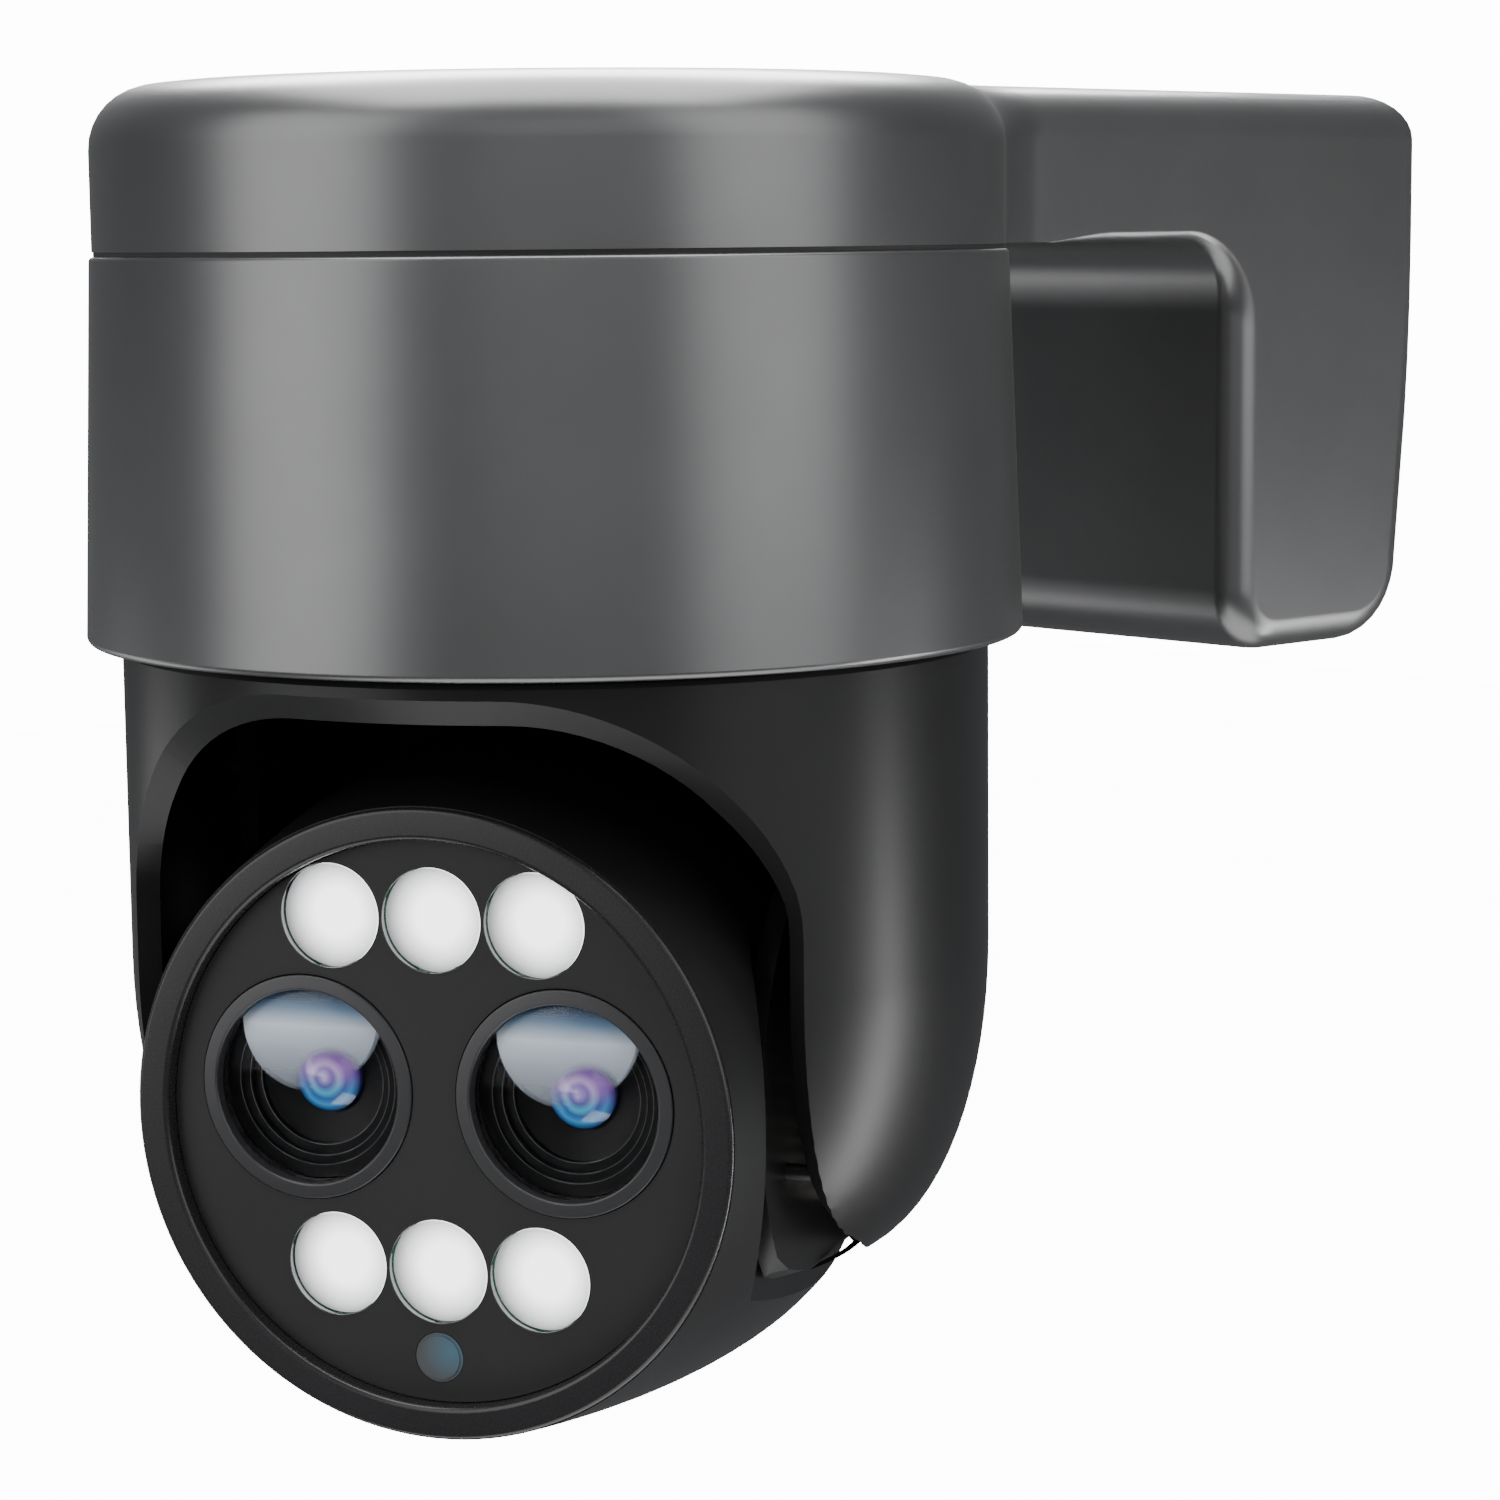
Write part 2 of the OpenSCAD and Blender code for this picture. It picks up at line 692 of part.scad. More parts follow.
module tilt_motor() {
    color("silver") at_tilt_drive() translate([tilt_motor_x, 0, tilt_centres]) rotate([0, 90, 0])
    difference() {
        union() {
            cylinder(r = tilt_motor_r, h = tilt_motor_t);
            for (s = [-1, 1]) hull() {
                translate([0, s * tilt_motor_ear, 0]) cylinder(r = 2.4, h = 1, $fn = 24);
                translate([0, s * 6, 0]) cylinder(r = 4, h = 1, $fn = 24);
            }
        }
        translate([0, 0, -1]) cylinder(r = 1.05, h = tilt_motor_t, $fn = 24);
        for (s = [-1, 1]) translate([0, s * tilt_motor_ear, -1]) cylinder(r = 1.1, h = 3, $fn = 24);
    }
}

module tilt_motor_screws() {
    color("silver") at_tilt_drive() for (s = [-1, 1])
        translate([tilt_motor_x + 1, s * tilt_motor_ear, tilt_centres]) rotate([0, 90, 0])
            screw(2, 5.4, 1, 1.8);
}

module tilt_pinion() {
    color("white") at_tilt_drive() translate([tilt_gear_x, 0, tilt_centres]) rotate([0, 90, 0]) union() {
        rotate([0, 0, 180 / tilt_pinion_teeth]) linear_extrude(tilt_gear_t)
            gear_outline(tilt_pinion_teeth);
        cylinder(r = 1, h = tilt_gear_t + 5, $fn = 24);
    }
}

// ---- Head ----

module tilt_gear() {
    color("white") at_tilt_drive() translate([tilt_gear_x, 0, 0]) rotate([0, 90, 0]) difference() {
        rotate([0, 0, 180]) linear_extrude(tilt_gear_t) gear_outline(tilt_teeth);
        translate([0, 0, -1]) cylinder(r = trunnion_r, h = tilt_gear_t + 2);
        around(6, 10.5) translate([0, 0, -1]) cylinder(r = 1.8, h = tilt_gear_t + 2, $fn = 24);
    }
}

module trunnion(len) {
    difference() {
        union() {
            translate([0, 0, flat_x - head_wall - 2.4]) cylinder(r = 12, h = 2.4);
            translate([0, 0, flat_x - head_wall - 2.4]) cylinder(r = trunnion_r, h = len);
        }
        translate([0, 0, flat_x - 10]) cylinder(r = 4, h = len + 20);
        around(4, 9) translate([0, 0, flat_x - 8]) cylinder(r = 1, h = 8, $fn = 24);
    }
}

module trunnion_left() {
    color("gray") at_tilt() rotate([0, -90, 0]) trunnion(11);
}

module trunnion_right() {
    color("gray") at_tilt() rotate([0, 90, 0]) trunnion(14);
}

module trunnion_screws() {
    color("silver") at_tilt() for (s = [-1, 1]) rotate([0, 90 * s, 0]) around(4, 9)
        translate([0, 0, flat_x - head_wall - 2.4]) mirror([0, 0, 1]) screw(2, 4.2, 1.3, 1.7);
}

// Radius of the drum at a distance in front of the tilt axis
drum_power = 1.5;
function drum_r(d) = ball_r - (ball_r - rim_r) * pow(d / rim_d, drum_power);
module head_profile(front, inset = 0) {
    steps = 6;
    r = ball_r - inset;
    union() {
        intersection() {
            circle(r, $fn = 96);
            translate([0, -r - 1]) square([r + 1, r + 1]);
        }
        polygon(concat([[0, -1], [r - 0.5, -1], [r, 0]],
            [for (i = [1 : steps]) [drum_r(front * i / steps) - inset, front * i / steps]],
            [[0, front]]));
    }
}

// The ball and its drum with a flat-bottomed pocket on each side, axis along +Z to the front
module head_solid(front, inset = 0) {
    difference() {
        rotate_extrude() head_profile(front, inset);
        for (s = [-1, 1]) rotate([0, 90 * s, 0]) translate([0, 0, flat_x - inset])
            cylinder(r = pocket_r + inset, h = 20);
    }
}

module head_cavity() {
    head_solid(rim_d + 2, head_wall);
}

module head_front_shell() {
    color([0.12, 0.12, 0.12]) facing() difference() {
        head_solid(rim_d - 0.6);
        head_cavity();
        translate([-60, -60, -120 + split_d]) cube([120, 120, 120]);
        for (s = [-1, 1]) rotate([0, 90 * s, 0]) translate([0, 0, flat_x - 6]) {
            cylinder(r = trunnion_r, h = 12);
            around(4, 9, 0) cylinder(r = 1, h = 12, $fn = 24);
        }
    }
}

module head_rear_shell() {
    color([0.12, 0.12, 0.12]) facing() difference() {
        union() {
            difference() {
                head_solid(rim_d - 0.6);
                head_cavity();
                translate([-60, -60, split_d]) cube([120, 120, 120]);
            }
            intersection() {
                translate([0, card_y, -ball_r - 5]) linear_extrude(30) round_rect(29, 19, 6);
                difference() {
                    sphere(ball_r - head_wall + 0.1);
                    sphere(ball_r - head_wall - 1.6);
                }
            }
            for (x = [-1, 1], y = [-1, 1]) translate([x * 16, y * 36, -20]) intersection() {
                cylinder(r = 3.4, h = 20 + split_d);
                translate([-x * 16, -y * 36, 20]) sphere(ball_r - 1);
            }
        }
        for (x = [-1, 1], y = [-1, 1]) translate([x * 16, y * 36, -60]) {
            cylinder(r = 1.5, h = 60, $fn = 24);
            cylinder(r = 2.8, h = 60 - 16, $fn = 24);
        }
        for (s = [-1, 1]) rotate([0, 90 * s, 0]) translate([0, 0, flat_x - 6])
            around(4, 9, 0) cylinder(r = 1, h = 12, $fn = 24);
        for (s = [-1, 1]) rotate([0, 90 * s, 0]) translate([0, 0, flat_x - 6]) cylinder(r = trunnion_r, h = 12);
        // Seat of the card cover, with a ledge behind it
        translate([0, card_y, -ball_r - 5]) linear_extrude(30) round_rect(14, 11, 3);
        difference() {
            translate([0, card_y, -ball_r - 5]) linear_extrude(30) round_rect(26, 16, 5);
            sphere(ball_r - head_wall);
        }
        for (s = [-1, 1]) translate([s * card_x, card_y, -60]) cylinder(r = 1, h = 40, $fn = 24);
    }
}

module card_cover() {
    color([0.1, 0.1, 0.1]) facing() difference() {
        intersection() {
            translate([0, card_y, -ball_r - 5]) linear_extrude(25) round_rect(25.6, 15.6, 4.8);
            difference() {
                sphere(ball_r);
                sphere(ball_r - head_wall + 0.02);
            }
        }
        for (s = [-1, 1]) translate([s * card_x, card_y, -60]) {
            cylinder(r = 1.1, h = 40, $fn = 24);
            cylinder(r = 1.9, h = 60 - card_seat, $fn = 24);
        }
    }
}

module card_cover_screws() {
    color("silver") facing() for (s = [-1, 1]) translate([s * card_x, card_y, -card_seat])
        mirror([0, 0, 1]) screw(2, 3, 0.8, 1.75);
}

module head_screws() {
    color("silver") facing() for (x = [-1, 1], y = [-1, 1]) translate([x * 16, y * 36, -16])
        mirror([0, 0, 1]) screw(2.5, 16);
}

seal_r = rim_r - head_wall - 0.75;
seal_d = rim_d - 3.4;
module head_bezel() {
    sleeve = rim_r - head_wall - 0.4;
    color([0.15, 0.15, 0.15]) facing() rotate_extrude() difference() {
        polygon([
            [face_r + 0.1, face_d - 0.2], [face_r + 0.1, rim_d - 0.3], [face_r + 0.3, rim_d],
            [rim_r - 0.5, rim_d], [rim_r, rim_d - 0.5], [rim_r, rim_d - 0.6],
            [sleeve, rim_d - 0.6], [sleeve - 0.2, rim_d - 7],
            [face_r - 0.1, rim_d - 7], [face_r - 0.1, face_d - face_t - 0.2],
            [face_r + 0.1, face_d - face_t - 0.2]]);
        translate([seal_r + 0.25, seal_d]) circle(0.5, $fn = 24);
    }
}

module bezel_seal() {
    color("black") facing() translate([0, 0, seal_d]) rotate_extrude()
        translate([seal_r + 0.25, 0]) circle(0.48, $fn = 24);
}

module front_holes(lens_r, lamp_hole, sensor_hole, low, high) {
    for (s = [-1, 1]) translate([s * lens_x, lens_z, low]) cylinder(r = lens_r, h = high - low);
    for (i = [-1 : 1], y = [lamp_top_z, lamp_low_z]) translate([i * lamp_pitch, y, low])
        cylinder(r = lamp_hole, h = high - low, $fn = 48);
    translate([0, sensor_z, low]) cylinder(r = sensor_hole, h = high - low, $fn = 32);
}

module face_plate() {
    color([0.16, 0.16, 0.17]) facing() difference() {
        translate([0, 0, face_d - face_t]) cylinder(r = face_r, h = face_t);
        front_holes(lens_ring_r, lamp_r + 0.05, sensor_r + 0.05, face_d - face_t - 1, face_d + 1);
    }
}

module lens_ring(s) {
    facing() translate([s * lens_x, lens_z, 0]) rotate_extrude() polygon([
        [window_r, face_d - 6], [window_r + 0.8, face_d - 6], [window_r + 0.8, face_d - face_t],
        [lens_ring_r, face_d - face_t], [lens_ring_r, face_d + 0.1], [lens_ring_r - 0.3, face_d + 0.4],
        [window_r + 0.2, face_d + 0.4], [window_r, face_d + 0.2]]);
}

module lens_ring_left() {
    color("gray") lens_ring(-1);
}

module lens_ring_right() {
    color("gray") lens_ring(1);
}

// Stepped black barrel inside the ring
module lens_barrel(s) {
    facing() translate([s * lens_x, lens_z, face_d]) rotate_extrude() polygon([
        [core_r + 2.5, -26], [core_r + 5, -26], [core_r + 5, -8], [window_r - 0.1, -8], [window_r - 0.1, -3],
        [10.35, -3], [10.35, -3.6], [9.3, -3.6], [9.3, -4.4], [8.15, -4.4], [8.15, -5.4],
        [core_r + 1, -6.4], [core_r, -6.8], [core_r, -22], [core_r + 2.5, -22]]);
}

module lens_barrel_left() {
    color([0.05, 0.05, 0.05]) lens_barrel(-1);
}

module lens_barrel_right() {
    color([0.05, 0.05, 0.05]) lens_barrel(1);
}

// Front window: a shallow dome of glass
window_bulge = 1.6;
window_t = 1.4;
window_sphere = (pow(window_r, 2) + pow(window_bulge, 2)) / (2 * window_bulge);
module lens_window(s) {
    facing() translate([s * lens_x, lens_z, face_d - 1.2]) rotate_extrude() intersection() {
        translate([0, -window_t]) square([window_r - 0.05, 2 * window_bulge + window_t]);
        difference() {
            translate([0, window_bulge - window_sphere]) circle(window_sphere, $fn = 192);
            translate([0, window_bulge - window_sphere - window_t])
                circle(window_sphere, $fn = 192);
        }
    }
}

module lens_window_left() {
    color([0.5, 0.6, 0.7, 0.5]) lens_window(-1);
}

module lens_window_right() {
    color([0.5, 0.6, 0.7, 0.5]) lens_window(1);
}

// Coated front element at the middle of the barrel
module lens_core(s) {
    facing() translate([s * lens_x, lens_z, face_d - 10]) intersection() {
        cylinder(r = core_r - 0.02, h = 5);
        translate([0, 0, 5 - 9]) sphere(9, $fn = 64);
    }
}

module lens_core_left() {
    color("mediumpurple") lens_core(-1);
}

module lens_core_right() {
    color("mediumpurple") lens_core(1);
}

module sensor_board(s) {
    facing() translate([s * lens_x, lens_z, face_d - 27.6]) difference() {
        union() {
            translate([-14, -13, 0]) cube([28, 26, 1.5]);
            translate([-4.3, -4.3, 1.5]) cube([8.6, 8.6, 1.2]);
            translate([-9, -12, -2.5]) cube([18, 4, 2.5]);
        }
        for (x = [-1, 1]) translate([x * 11.6, 0, -1]) cylinder(r = 1.1, h = 5, $fn = 24);
    }
}

module sensor_board_left() {
    color("darkgreen") sensor_board(-1);
}

module sensor_board_right() {
    color("darkgreen") sensor_board(1);
}

// Domed clear lenses of the lamps
module lamp_lenses() {
    color("white") facing() for (i = [-1 : 1], y = [lamp_top_z, lamp_low_z])
        translate([i * lamp_pitch, y, face_d - face_t - 0.8]) rotate_extrude($fn = 48) union() {
            square([lamp_r, face_t + 0.8]);
            intersection() {
                translate([0, face_t + 0.8 + 1.9 - 11.56]) circle(11.56, $fn = 96);
                square([lamp_r, 10]);
            }
        }
}

module lamp_chips() {
    color("lightyellow") facing() for (i = [-1 : 1], y = [lamp_top_z, lamp_low_z])
        translate([i * lamp_pitch, y, face_d - face_t - 2.8]) translate([-1.75, -1.75, 0]) cube([3.5, 3.5, 0.8]);
}

module lamp_board() {
    color("white") facing() difference() {
        translate([0, 0, face_d - face_t - 4.4]) cylinder(r = 32.2, h = 1.6);
        for (s = [-1, 1]) translate([s * lens_x, lens_z, 0]) cylinder(r = lens_ring_r, h = 60);
        translate([0, sensor_z, 0]) cylinder(r = 1.2, h = 60, $fn = 24);
        for (s = [-1, 1]) translate([s * 26, -14, 0]) cylinder(r = 1.3, h = 60, $fn = 24);
    }
}

module light_sensor() {
    color([0.4, 0.6, 0.65]) facing() translate([0, sensor_z, face_d - face_t - 1]) union() {
        cylinder(r = sensor_r, h = face_t + 1, $fn = 32);
        cylinder(r = sensor_r - 0.4, h = face_t + 1.2, $fn = 32);
    }
}

// Plate inside the drum that carries the lens barrels and boards
module head_frame() {
    color("gray") facing() difference() {
        union() {
            intersection() {
                translate([0, 0, face_d - 22]) cylinder(r = 36, h = 2);
                translate([-31, -60, 0]) cube([62, 120, 60]);
            }
            for (s = [-1, 1]) translate([s * 26, -14, face_d - 20.5]) cylinder(r = 3, h = 13.9);
        }
        for (s = [-1, 1]) translate([s * lens_x, lens_z, 0]) cylinder(r = core_r + 5.05, h = 60);
        for (s = [-1, 1]) translate([s * 26, -14, 24]) cylinder(r = 1, h = 40, $fn = 24);
        for (s = [-1, 1]) translate([s * 15, 26, 0]) cylinder(r = 4, h = 60, $fn = 24);
    }
}

module frame_screws() {
    color("silver") facing() for (s = [-1, 1]) translate([s * 26, -14, face_d - face_t - 2.8])
        screw(2, 7, 0.6, 1.9);
}

wall_plate();
bracket_shell();
lock_screws();
cable_grommet();
seam_gasket();
base_housing();
housing_screws();
pan_chassis();
chassis_screws();
main_board();
board_parts();
board_screws();
pan_motor();
pan_motor_screws();
pan_bearing_outer();
pan_bearing_balls();
pan_pinion();
pan_gear();
yoke_hub();
gear_nut();
pan_bearing_inner();
hub_screws();
yoke_shell();
cheek_left();
cheek_right();
cheek_screws();
tilt_bushes();
tilt_motor();
tilt_motor_screws();
tilt_pinion();
tilt_gear();
trunnion_left();
trunnion_right();
trunnion_screws();
head_front_shell();
head_rear_shell();
head_screws();
head_bezel();
bezel_seal();
face_plate();
lens_ring_left();
lens_ring_right();
lens_barrel_left();
lens_barrel_right();
lens_window_left();
lens_window_right();
lens_core_left();
lens_core_right();
sensor_board_left();
sensor_board_right();
lamp_lenses();
lamp_chips();
lamp_board();
light_sensor();
head_frame();
frame_screws();
card_cover();
card_cover_screws();
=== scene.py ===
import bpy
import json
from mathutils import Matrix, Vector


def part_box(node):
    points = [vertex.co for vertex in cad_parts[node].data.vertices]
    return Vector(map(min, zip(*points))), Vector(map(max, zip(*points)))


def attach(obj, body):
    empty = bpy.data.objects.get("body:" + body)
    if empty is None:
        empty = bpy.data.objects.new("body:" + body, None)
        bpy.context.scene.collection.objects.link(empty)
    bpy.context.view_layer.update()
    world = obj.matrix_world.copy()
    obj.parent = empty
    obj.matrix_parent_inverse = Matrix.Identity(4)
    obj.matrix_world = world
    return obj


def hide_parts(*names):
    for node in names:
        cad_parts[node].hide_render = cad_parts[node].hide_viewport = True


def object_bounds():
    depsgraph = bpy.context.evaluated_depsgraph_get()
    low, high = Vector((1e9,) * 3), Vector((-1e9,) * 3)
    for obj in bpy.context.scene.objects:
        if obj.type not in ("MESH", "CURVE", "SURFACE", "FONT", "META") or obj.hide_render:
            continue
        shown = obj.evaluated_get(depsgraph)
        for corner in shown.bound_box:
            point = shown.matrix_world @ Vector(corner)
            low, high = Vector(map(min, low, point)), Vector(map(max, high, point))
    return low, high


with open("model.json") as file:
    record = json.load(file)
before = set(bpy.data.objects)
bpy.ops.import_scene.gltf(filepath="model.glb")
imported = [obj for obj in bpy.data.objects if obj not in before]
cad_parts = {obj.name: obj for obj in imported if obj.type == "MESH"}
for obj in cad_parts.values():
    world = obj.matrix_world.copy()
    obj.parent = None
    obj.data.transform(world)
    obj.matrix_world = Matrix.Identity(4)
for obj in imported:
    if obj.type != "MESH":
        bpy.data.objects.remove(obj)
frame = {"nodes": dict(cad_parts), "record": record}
cad_box = [list(corner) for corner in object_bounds()]

import json
import math

import bpy
from mathutils import Matrix, Vector

nodes = frame["nodes"]
joints = {joint["name"]: joint for joint in frame["record"]["behaviour"]["joints"]}
pan_axis = Vector(joints["pan"]["pos_m"])
tilt_axis = Vector(joints["tilt"]["pos_m"])
sideways = Vector(joints["tilt"]["axis"])
upwards = Vector((0, 0, 1))
forwards = sideways.cross(upwards)

# ---- Camera, light and floor ----
# The camera looks at the head's open side from a little above the seam, from half a metre away.
# Soft boxes stand left, right, in front, overhead and behind, and three low ones light the dark
# shells from the sides and from below. The floor and the backdrop are plain white.
camera_heading, camera_dip, camera_roll = 0.8345, 0.1357, -0.0098
camera_offset = Vector((0.37879, -0.30995, 0.01779))
camera_place = pan_axis + camera_offset
ahead = Vector((-math.sin(camera_heading) * math.cos(camera_dip),
                math.cos(camera_heading) * math.cos(camera_dip), -math.sin(camera_dip)))
level_right = Vector((math.cos(camera_heading), math.sin(camera_heading), 0))
level_up = level_right.cross(ahead)
camera_right = level_right * math.cos(camera_roll) + level_up * math.sin(camera_roll)
camera_up = level_up * math.cos(camera_roll) - level_right * math.sin(camera_roll)
bpy.ops.object.camera_add()
camera = bpy.context.object
camera.data.lens = 91.15
camera.data.sensor_width = 36
camera.data.clip_start = 0.01
camera.matrix_world = Matrix.Translation(camera_place) @ Matrix(
    (camera_right, camera_up, -ahead)).transposed().to_4x4()
bpy.context.scene.camera = camera


def soft_box(turn, distance, height, width, tall, power, aim_height=-0.05):
    """A flat soft light, placed by its turn in degrees to the right of the camera, in metres and watts."""
    angle = math.atan2(camera_offset.y, camera_offset.x) + math.radians(turn)
    place = pan_axis + Vector((math.cos(angle) * distance, math.sin(angle) * distance, height))
    bpy.ops.object.light_add(type="AREA", location=place)
    light = bpy.context.object
    light.data.shape = "RECTANGLE"
    light.data.size = width
    light.data.size_y = tall
    light.data.energy = power
    aim = Vector((pan_axis.x, pan_axis.y, aim_height)) - place
    light.rotation_euler = aim.to_track_quat("-Z", "Y").to_euler()


soft_box(-62, 1.3, 0.30, 1.05, 1.3, 12)  # left
soft_box(52, 1.3, 0.40, 1.0, 1.2, 9)  # right
soft_box(0, 1.6, 0.45, 1.2, 1.0, 2.8)  # front
soft_box(0, 0.05, 1.0, 1.3, 1.0, 28)  # overhead
soft_box(180, 0.75, 0.85, 0.9, 0.6, 46, 0.03)  # high behind, on the cap's top edge
soft_box(92, 0.75, -0.42, 0.10, 0.5, 3.2)  # low right, a narrow streak on the yoke
soft_box(-122, 0.9, -0.45, 0.4, 0.6, 1.8)  # low left, on the yoke's other edge
soft_box(20, 0.2, -0.75, 1.1, 0.9, 8)  # underneath

backdrop_strength, fill_strength, floor_strength = 14.0, 0.13, 13.0
floor_drop = 0.80
world = bpy.data.worlds.new("studio")
bpy.context.scene.world = world
world.use_nodes = True
world_nodes = world.node_tree.nodes
seen = world_nodes.new("ShaderNodeLightPath")
backdrop = world_nodes.new("ShaderNodeBackground")
backdrop.inputs["Color"].default_value = (1, 1, 1, 1)
backdrop.inputs["Strength"].default_value = backdrop_strength
world_nodes["Background"].inputs["Color"].default_value = (0.93, 0.96, 1, 1)
world_nodes["Background"].inputs["Strength"].default_value = fill_strength
mix_sky = world_nodes.new("ShaderNodeMixShader")
world.node_tree.links.new(seen.outputs["Is Camera Ray"], mix_sky.inputs["Fac"])
world.node_tree.links.new(world_nodes["Background"].outputs[0], mix_sky.inputs[1])
world.node_tree.links.new(backdrop.outputs[0], mix_sky.inputs[2])
world.node_tree.links.new(mix_sky.outputs[0], world_nodes["World Output"].inputs["Surface"])

bpy.ops.object.select_all(action="DESELECT")
bpy.ops.mesh.primitive_plane_add(size=12, location=(0, 0, cad_box[0][2] - floor_drop))
floor = bpy.context.object
floor.name = "floor"
floor_paint = bpy.data.materials.new("pale floor")
floor_paint.use_nodes = True
floor_shader = floor_paint.node_tree.nodes["Principled BSDF"]
floor_shader.inputs["Base Color"].default_value = (0.86, 0.86, 0.86, 1)
floor_shader.inputs["Roughness"].default_value = 0.9
floor_shader.inputs["Emission Color"].default_value = (1, 1, 1, 1)
floor_shader.inputs["Emission Strength"].default_value = floor_strength
floor.visible_shadow = False
floor.visible_diffuse = False
floor.visible_glossy = False
floor.visible_transmission = False
floor.data.materials.append(floor_paint)


# ---- Bracket ----
# One aluminium casting: a round cap over the pan drive, an arm, and a foot that stands on the wall.
# It is painted in a satin gunmetal lacquer with fine metal flake, and its edges are well rounded.
def surface(name, color, roughness, metallic=0.0, grain=1800, depth=0.00001, patches=0.08, coat=0.0,
            shine=0.5):
    """A moulded, cast or lacquered finish, with a fine grain and slightly uneven colour and gloss."""
    gloss_range = 0.035
    material = bpy.data.materials.new(name)
    material.use_nodes = True
    tree = material.node_tree
    shader = tree.nodes["Principled BSDF"]
    shader.inputs["Metallic"].default_value = metallic
    shader.inputs["Specular IOR Level"].default_value = shine
    shader.inputs["Coat Weight"].default_value = coat
    shader.inputs["Coat Roughness"].default_value = 0.25
    place = tree.nodes.new("ShaderNodeTexCoord")
    fine = tree.nodes.new("ShaderNodeTexNoise")
    fine.inputs["Scale"].default_value = grain
    fine.inputs["Detail"].default_value = 3
    broad = tree.nodes.new("ShaderNodeTexNoise")
    broad.inputs["Scale"].default_value = 45
    broad.inputs["Detail"].default_value = 4
    for noise in (fine, broad):
        tree.links.new(place.outputs["Object"], noise.inputs["Vector"])
    tint = tree.nodes.new("ShaderNodeValToRGB")
    tint.color_ramp.elements[0].position = 0.3
    tint.color_ramp.elements[1].position = 0.7
    tint.color_ramp.elements[0].color = (*[c * (1 - patches) for c in color], 1)
    tint.color_ramp.elements[1].color = (*[min(c * (1 + patches), 1) for c in color], 1)
    tree.links.new(broad.outputs["Fac"], tint.inputs["Fac"])
    tree.links.new(tint.outputs["Color"], shader.inputs["Base Color"])
    gloss = tree.nodes.new("ShaderNodeMapRange")
    gloss.inputs["To Min"].default_value = roughness - gloss_range
    gloss.inputs["To Max"].default_value = roughness + gloss_range
    tree.links.new(fine.outputs["Fac"], gloss.inputs["Value"])
    tree.links.new(gloss.outputs["Result"], shader.inputs["Roughness"])
    bump = tree.nodes.new("ShaderNodeBump")
    bump.inputs["Strength"].default_value = 0.6
    bump.inputs["Distance"].default_value = depth
    tree.links.new(fine.outputs["Fac"], bump.inputs["Height"])
    tree.links.new(bump.outputs["Normal"], shader.inputs["Normal"])
    return material


def paint(node_or_piece, material):
    """Gives an object this finish in place of what it has."""
    piece = nodes[node_or_piece] if isinstance(node_or_piece, str) else node_or_piece
    if not piece.material_slots:
        piece.data.materials.append(material)
    for material_slot in piece.material_slots:
        material_slot.material = material


def edit(piece):
    """Selects only this piece and opens it in edit mode, with nothing in it selected."""
    bpy.ops.object.select_all(action="DESELECT")
    bpy.context.view_layer.objects.active = piece
    piece.select_set(True)
    bpy.ops.object.mode_set(mode="EDIT")
    bpy.ops.mesh.select_mode(type="VERT")
    bpy.ops.mesh.select_all(action="DESELECT")


def close():
    bpy.ops.object.mode_set(mode="OBJECT")


def drawn_line(name, points):
    """A new piece that is one line through the points, extruded from its first vertex."""
    bpy.ops.object.select_all(action="DESELECT")
    bpy.ops.mesh.primitive_plane_add(size=0.001, location=(0, 0, 0))
    piece = bpy.context.object
    piece.name = name
    bpy.ops.object.mode_set(mode="EDIT")
    bpy.ops.mesh.select_mode(type="VERT")
    bpy.ops.mesh.select_all(action="SELECT")
    bpy.ops.mesh.merge(type="CENTER")
    bpy.ops.transform.translate(value=points[0])
    for here, there in zip(points, points[1:]):
        bpy.ops.mesh.extrude_region_move(TRANSFORM_OT_translate={"value": Vector(there) - Vector(here)})
    bpy.ops.mesh.select_all(action="SELECT")
    return piece


def arc(centre, radius, start, end, steps):
    """Points on an arc in a plane, with its angles in degrees."""
    angles = [math.radians(start + (end - start) * step / steps) for step in range(steps + 1)]
    return [(centre[0] + radius * math.cos(a), centre[1] + radius * math.sin(a)) for a in angles]


def prism(name, outline, height, lift=0.0):
    """A solid drawn as a closed outline in x and y, then extruded upwards."""
    piece = drawn_line(name, [(x, y, lift) for x, y in outline])
    bpy.ops.mesh.edge_face_add()
    bpy.ops.mesh.extrude_region_move(TRANSFORM_OT_translate={"value": (0, 0, height)})
    bpy.ops.mesh.select_all(action="SELECT")
    bpy.ops.mesh.normals_make_consistent(inside=False)
    close()
    return piece


def spun(name, profile, steps=128, closed=False):
    """A turned solid: a profile of (radius, height) points spun round the Z axis."""
    piece = drawn_line(name, [(r, 0, z) for r, z in profile])
    if closed:
        bpy.ops.mesh.edge_face_add()
        bpy.ops.mesh.delete(type="ONLY_FACE")
        bpy.ops.mesh.select_all(action="SELECT")
    bpy.ops.mesh.spin(steps=steps, angle=2 * math.pi, center=(0, 0, 0), axis=(0, 0, 1))
    bpy.ops.mesh.select_all(action="SELECT")
    bpy.ops.mesh.remove_doubles(threshold=0.000001)
    bpy.ops.mesh.normals_make_consistent(inside=False)
    close()
    return piece


def put(piece, place):
    """Turns and moves the piece to its place, and keeps the place in its mesh."""
    piece.data.transform(place)
    piece.data.update()


def cut(piece, *cutters):
    """Cuts the solid cutters out of the piece, and throws them away."""
    for cutter in cutters:
        modifier = piece.modifiers.new("cut", "BOOLEAN")
        modifier.operation = "DIFFERENCE"
        modifier.solver = "EXACT"
        modifier.object = cutter
        apply(piece, modifier)
        bpy.data.objects.remove(cutter)


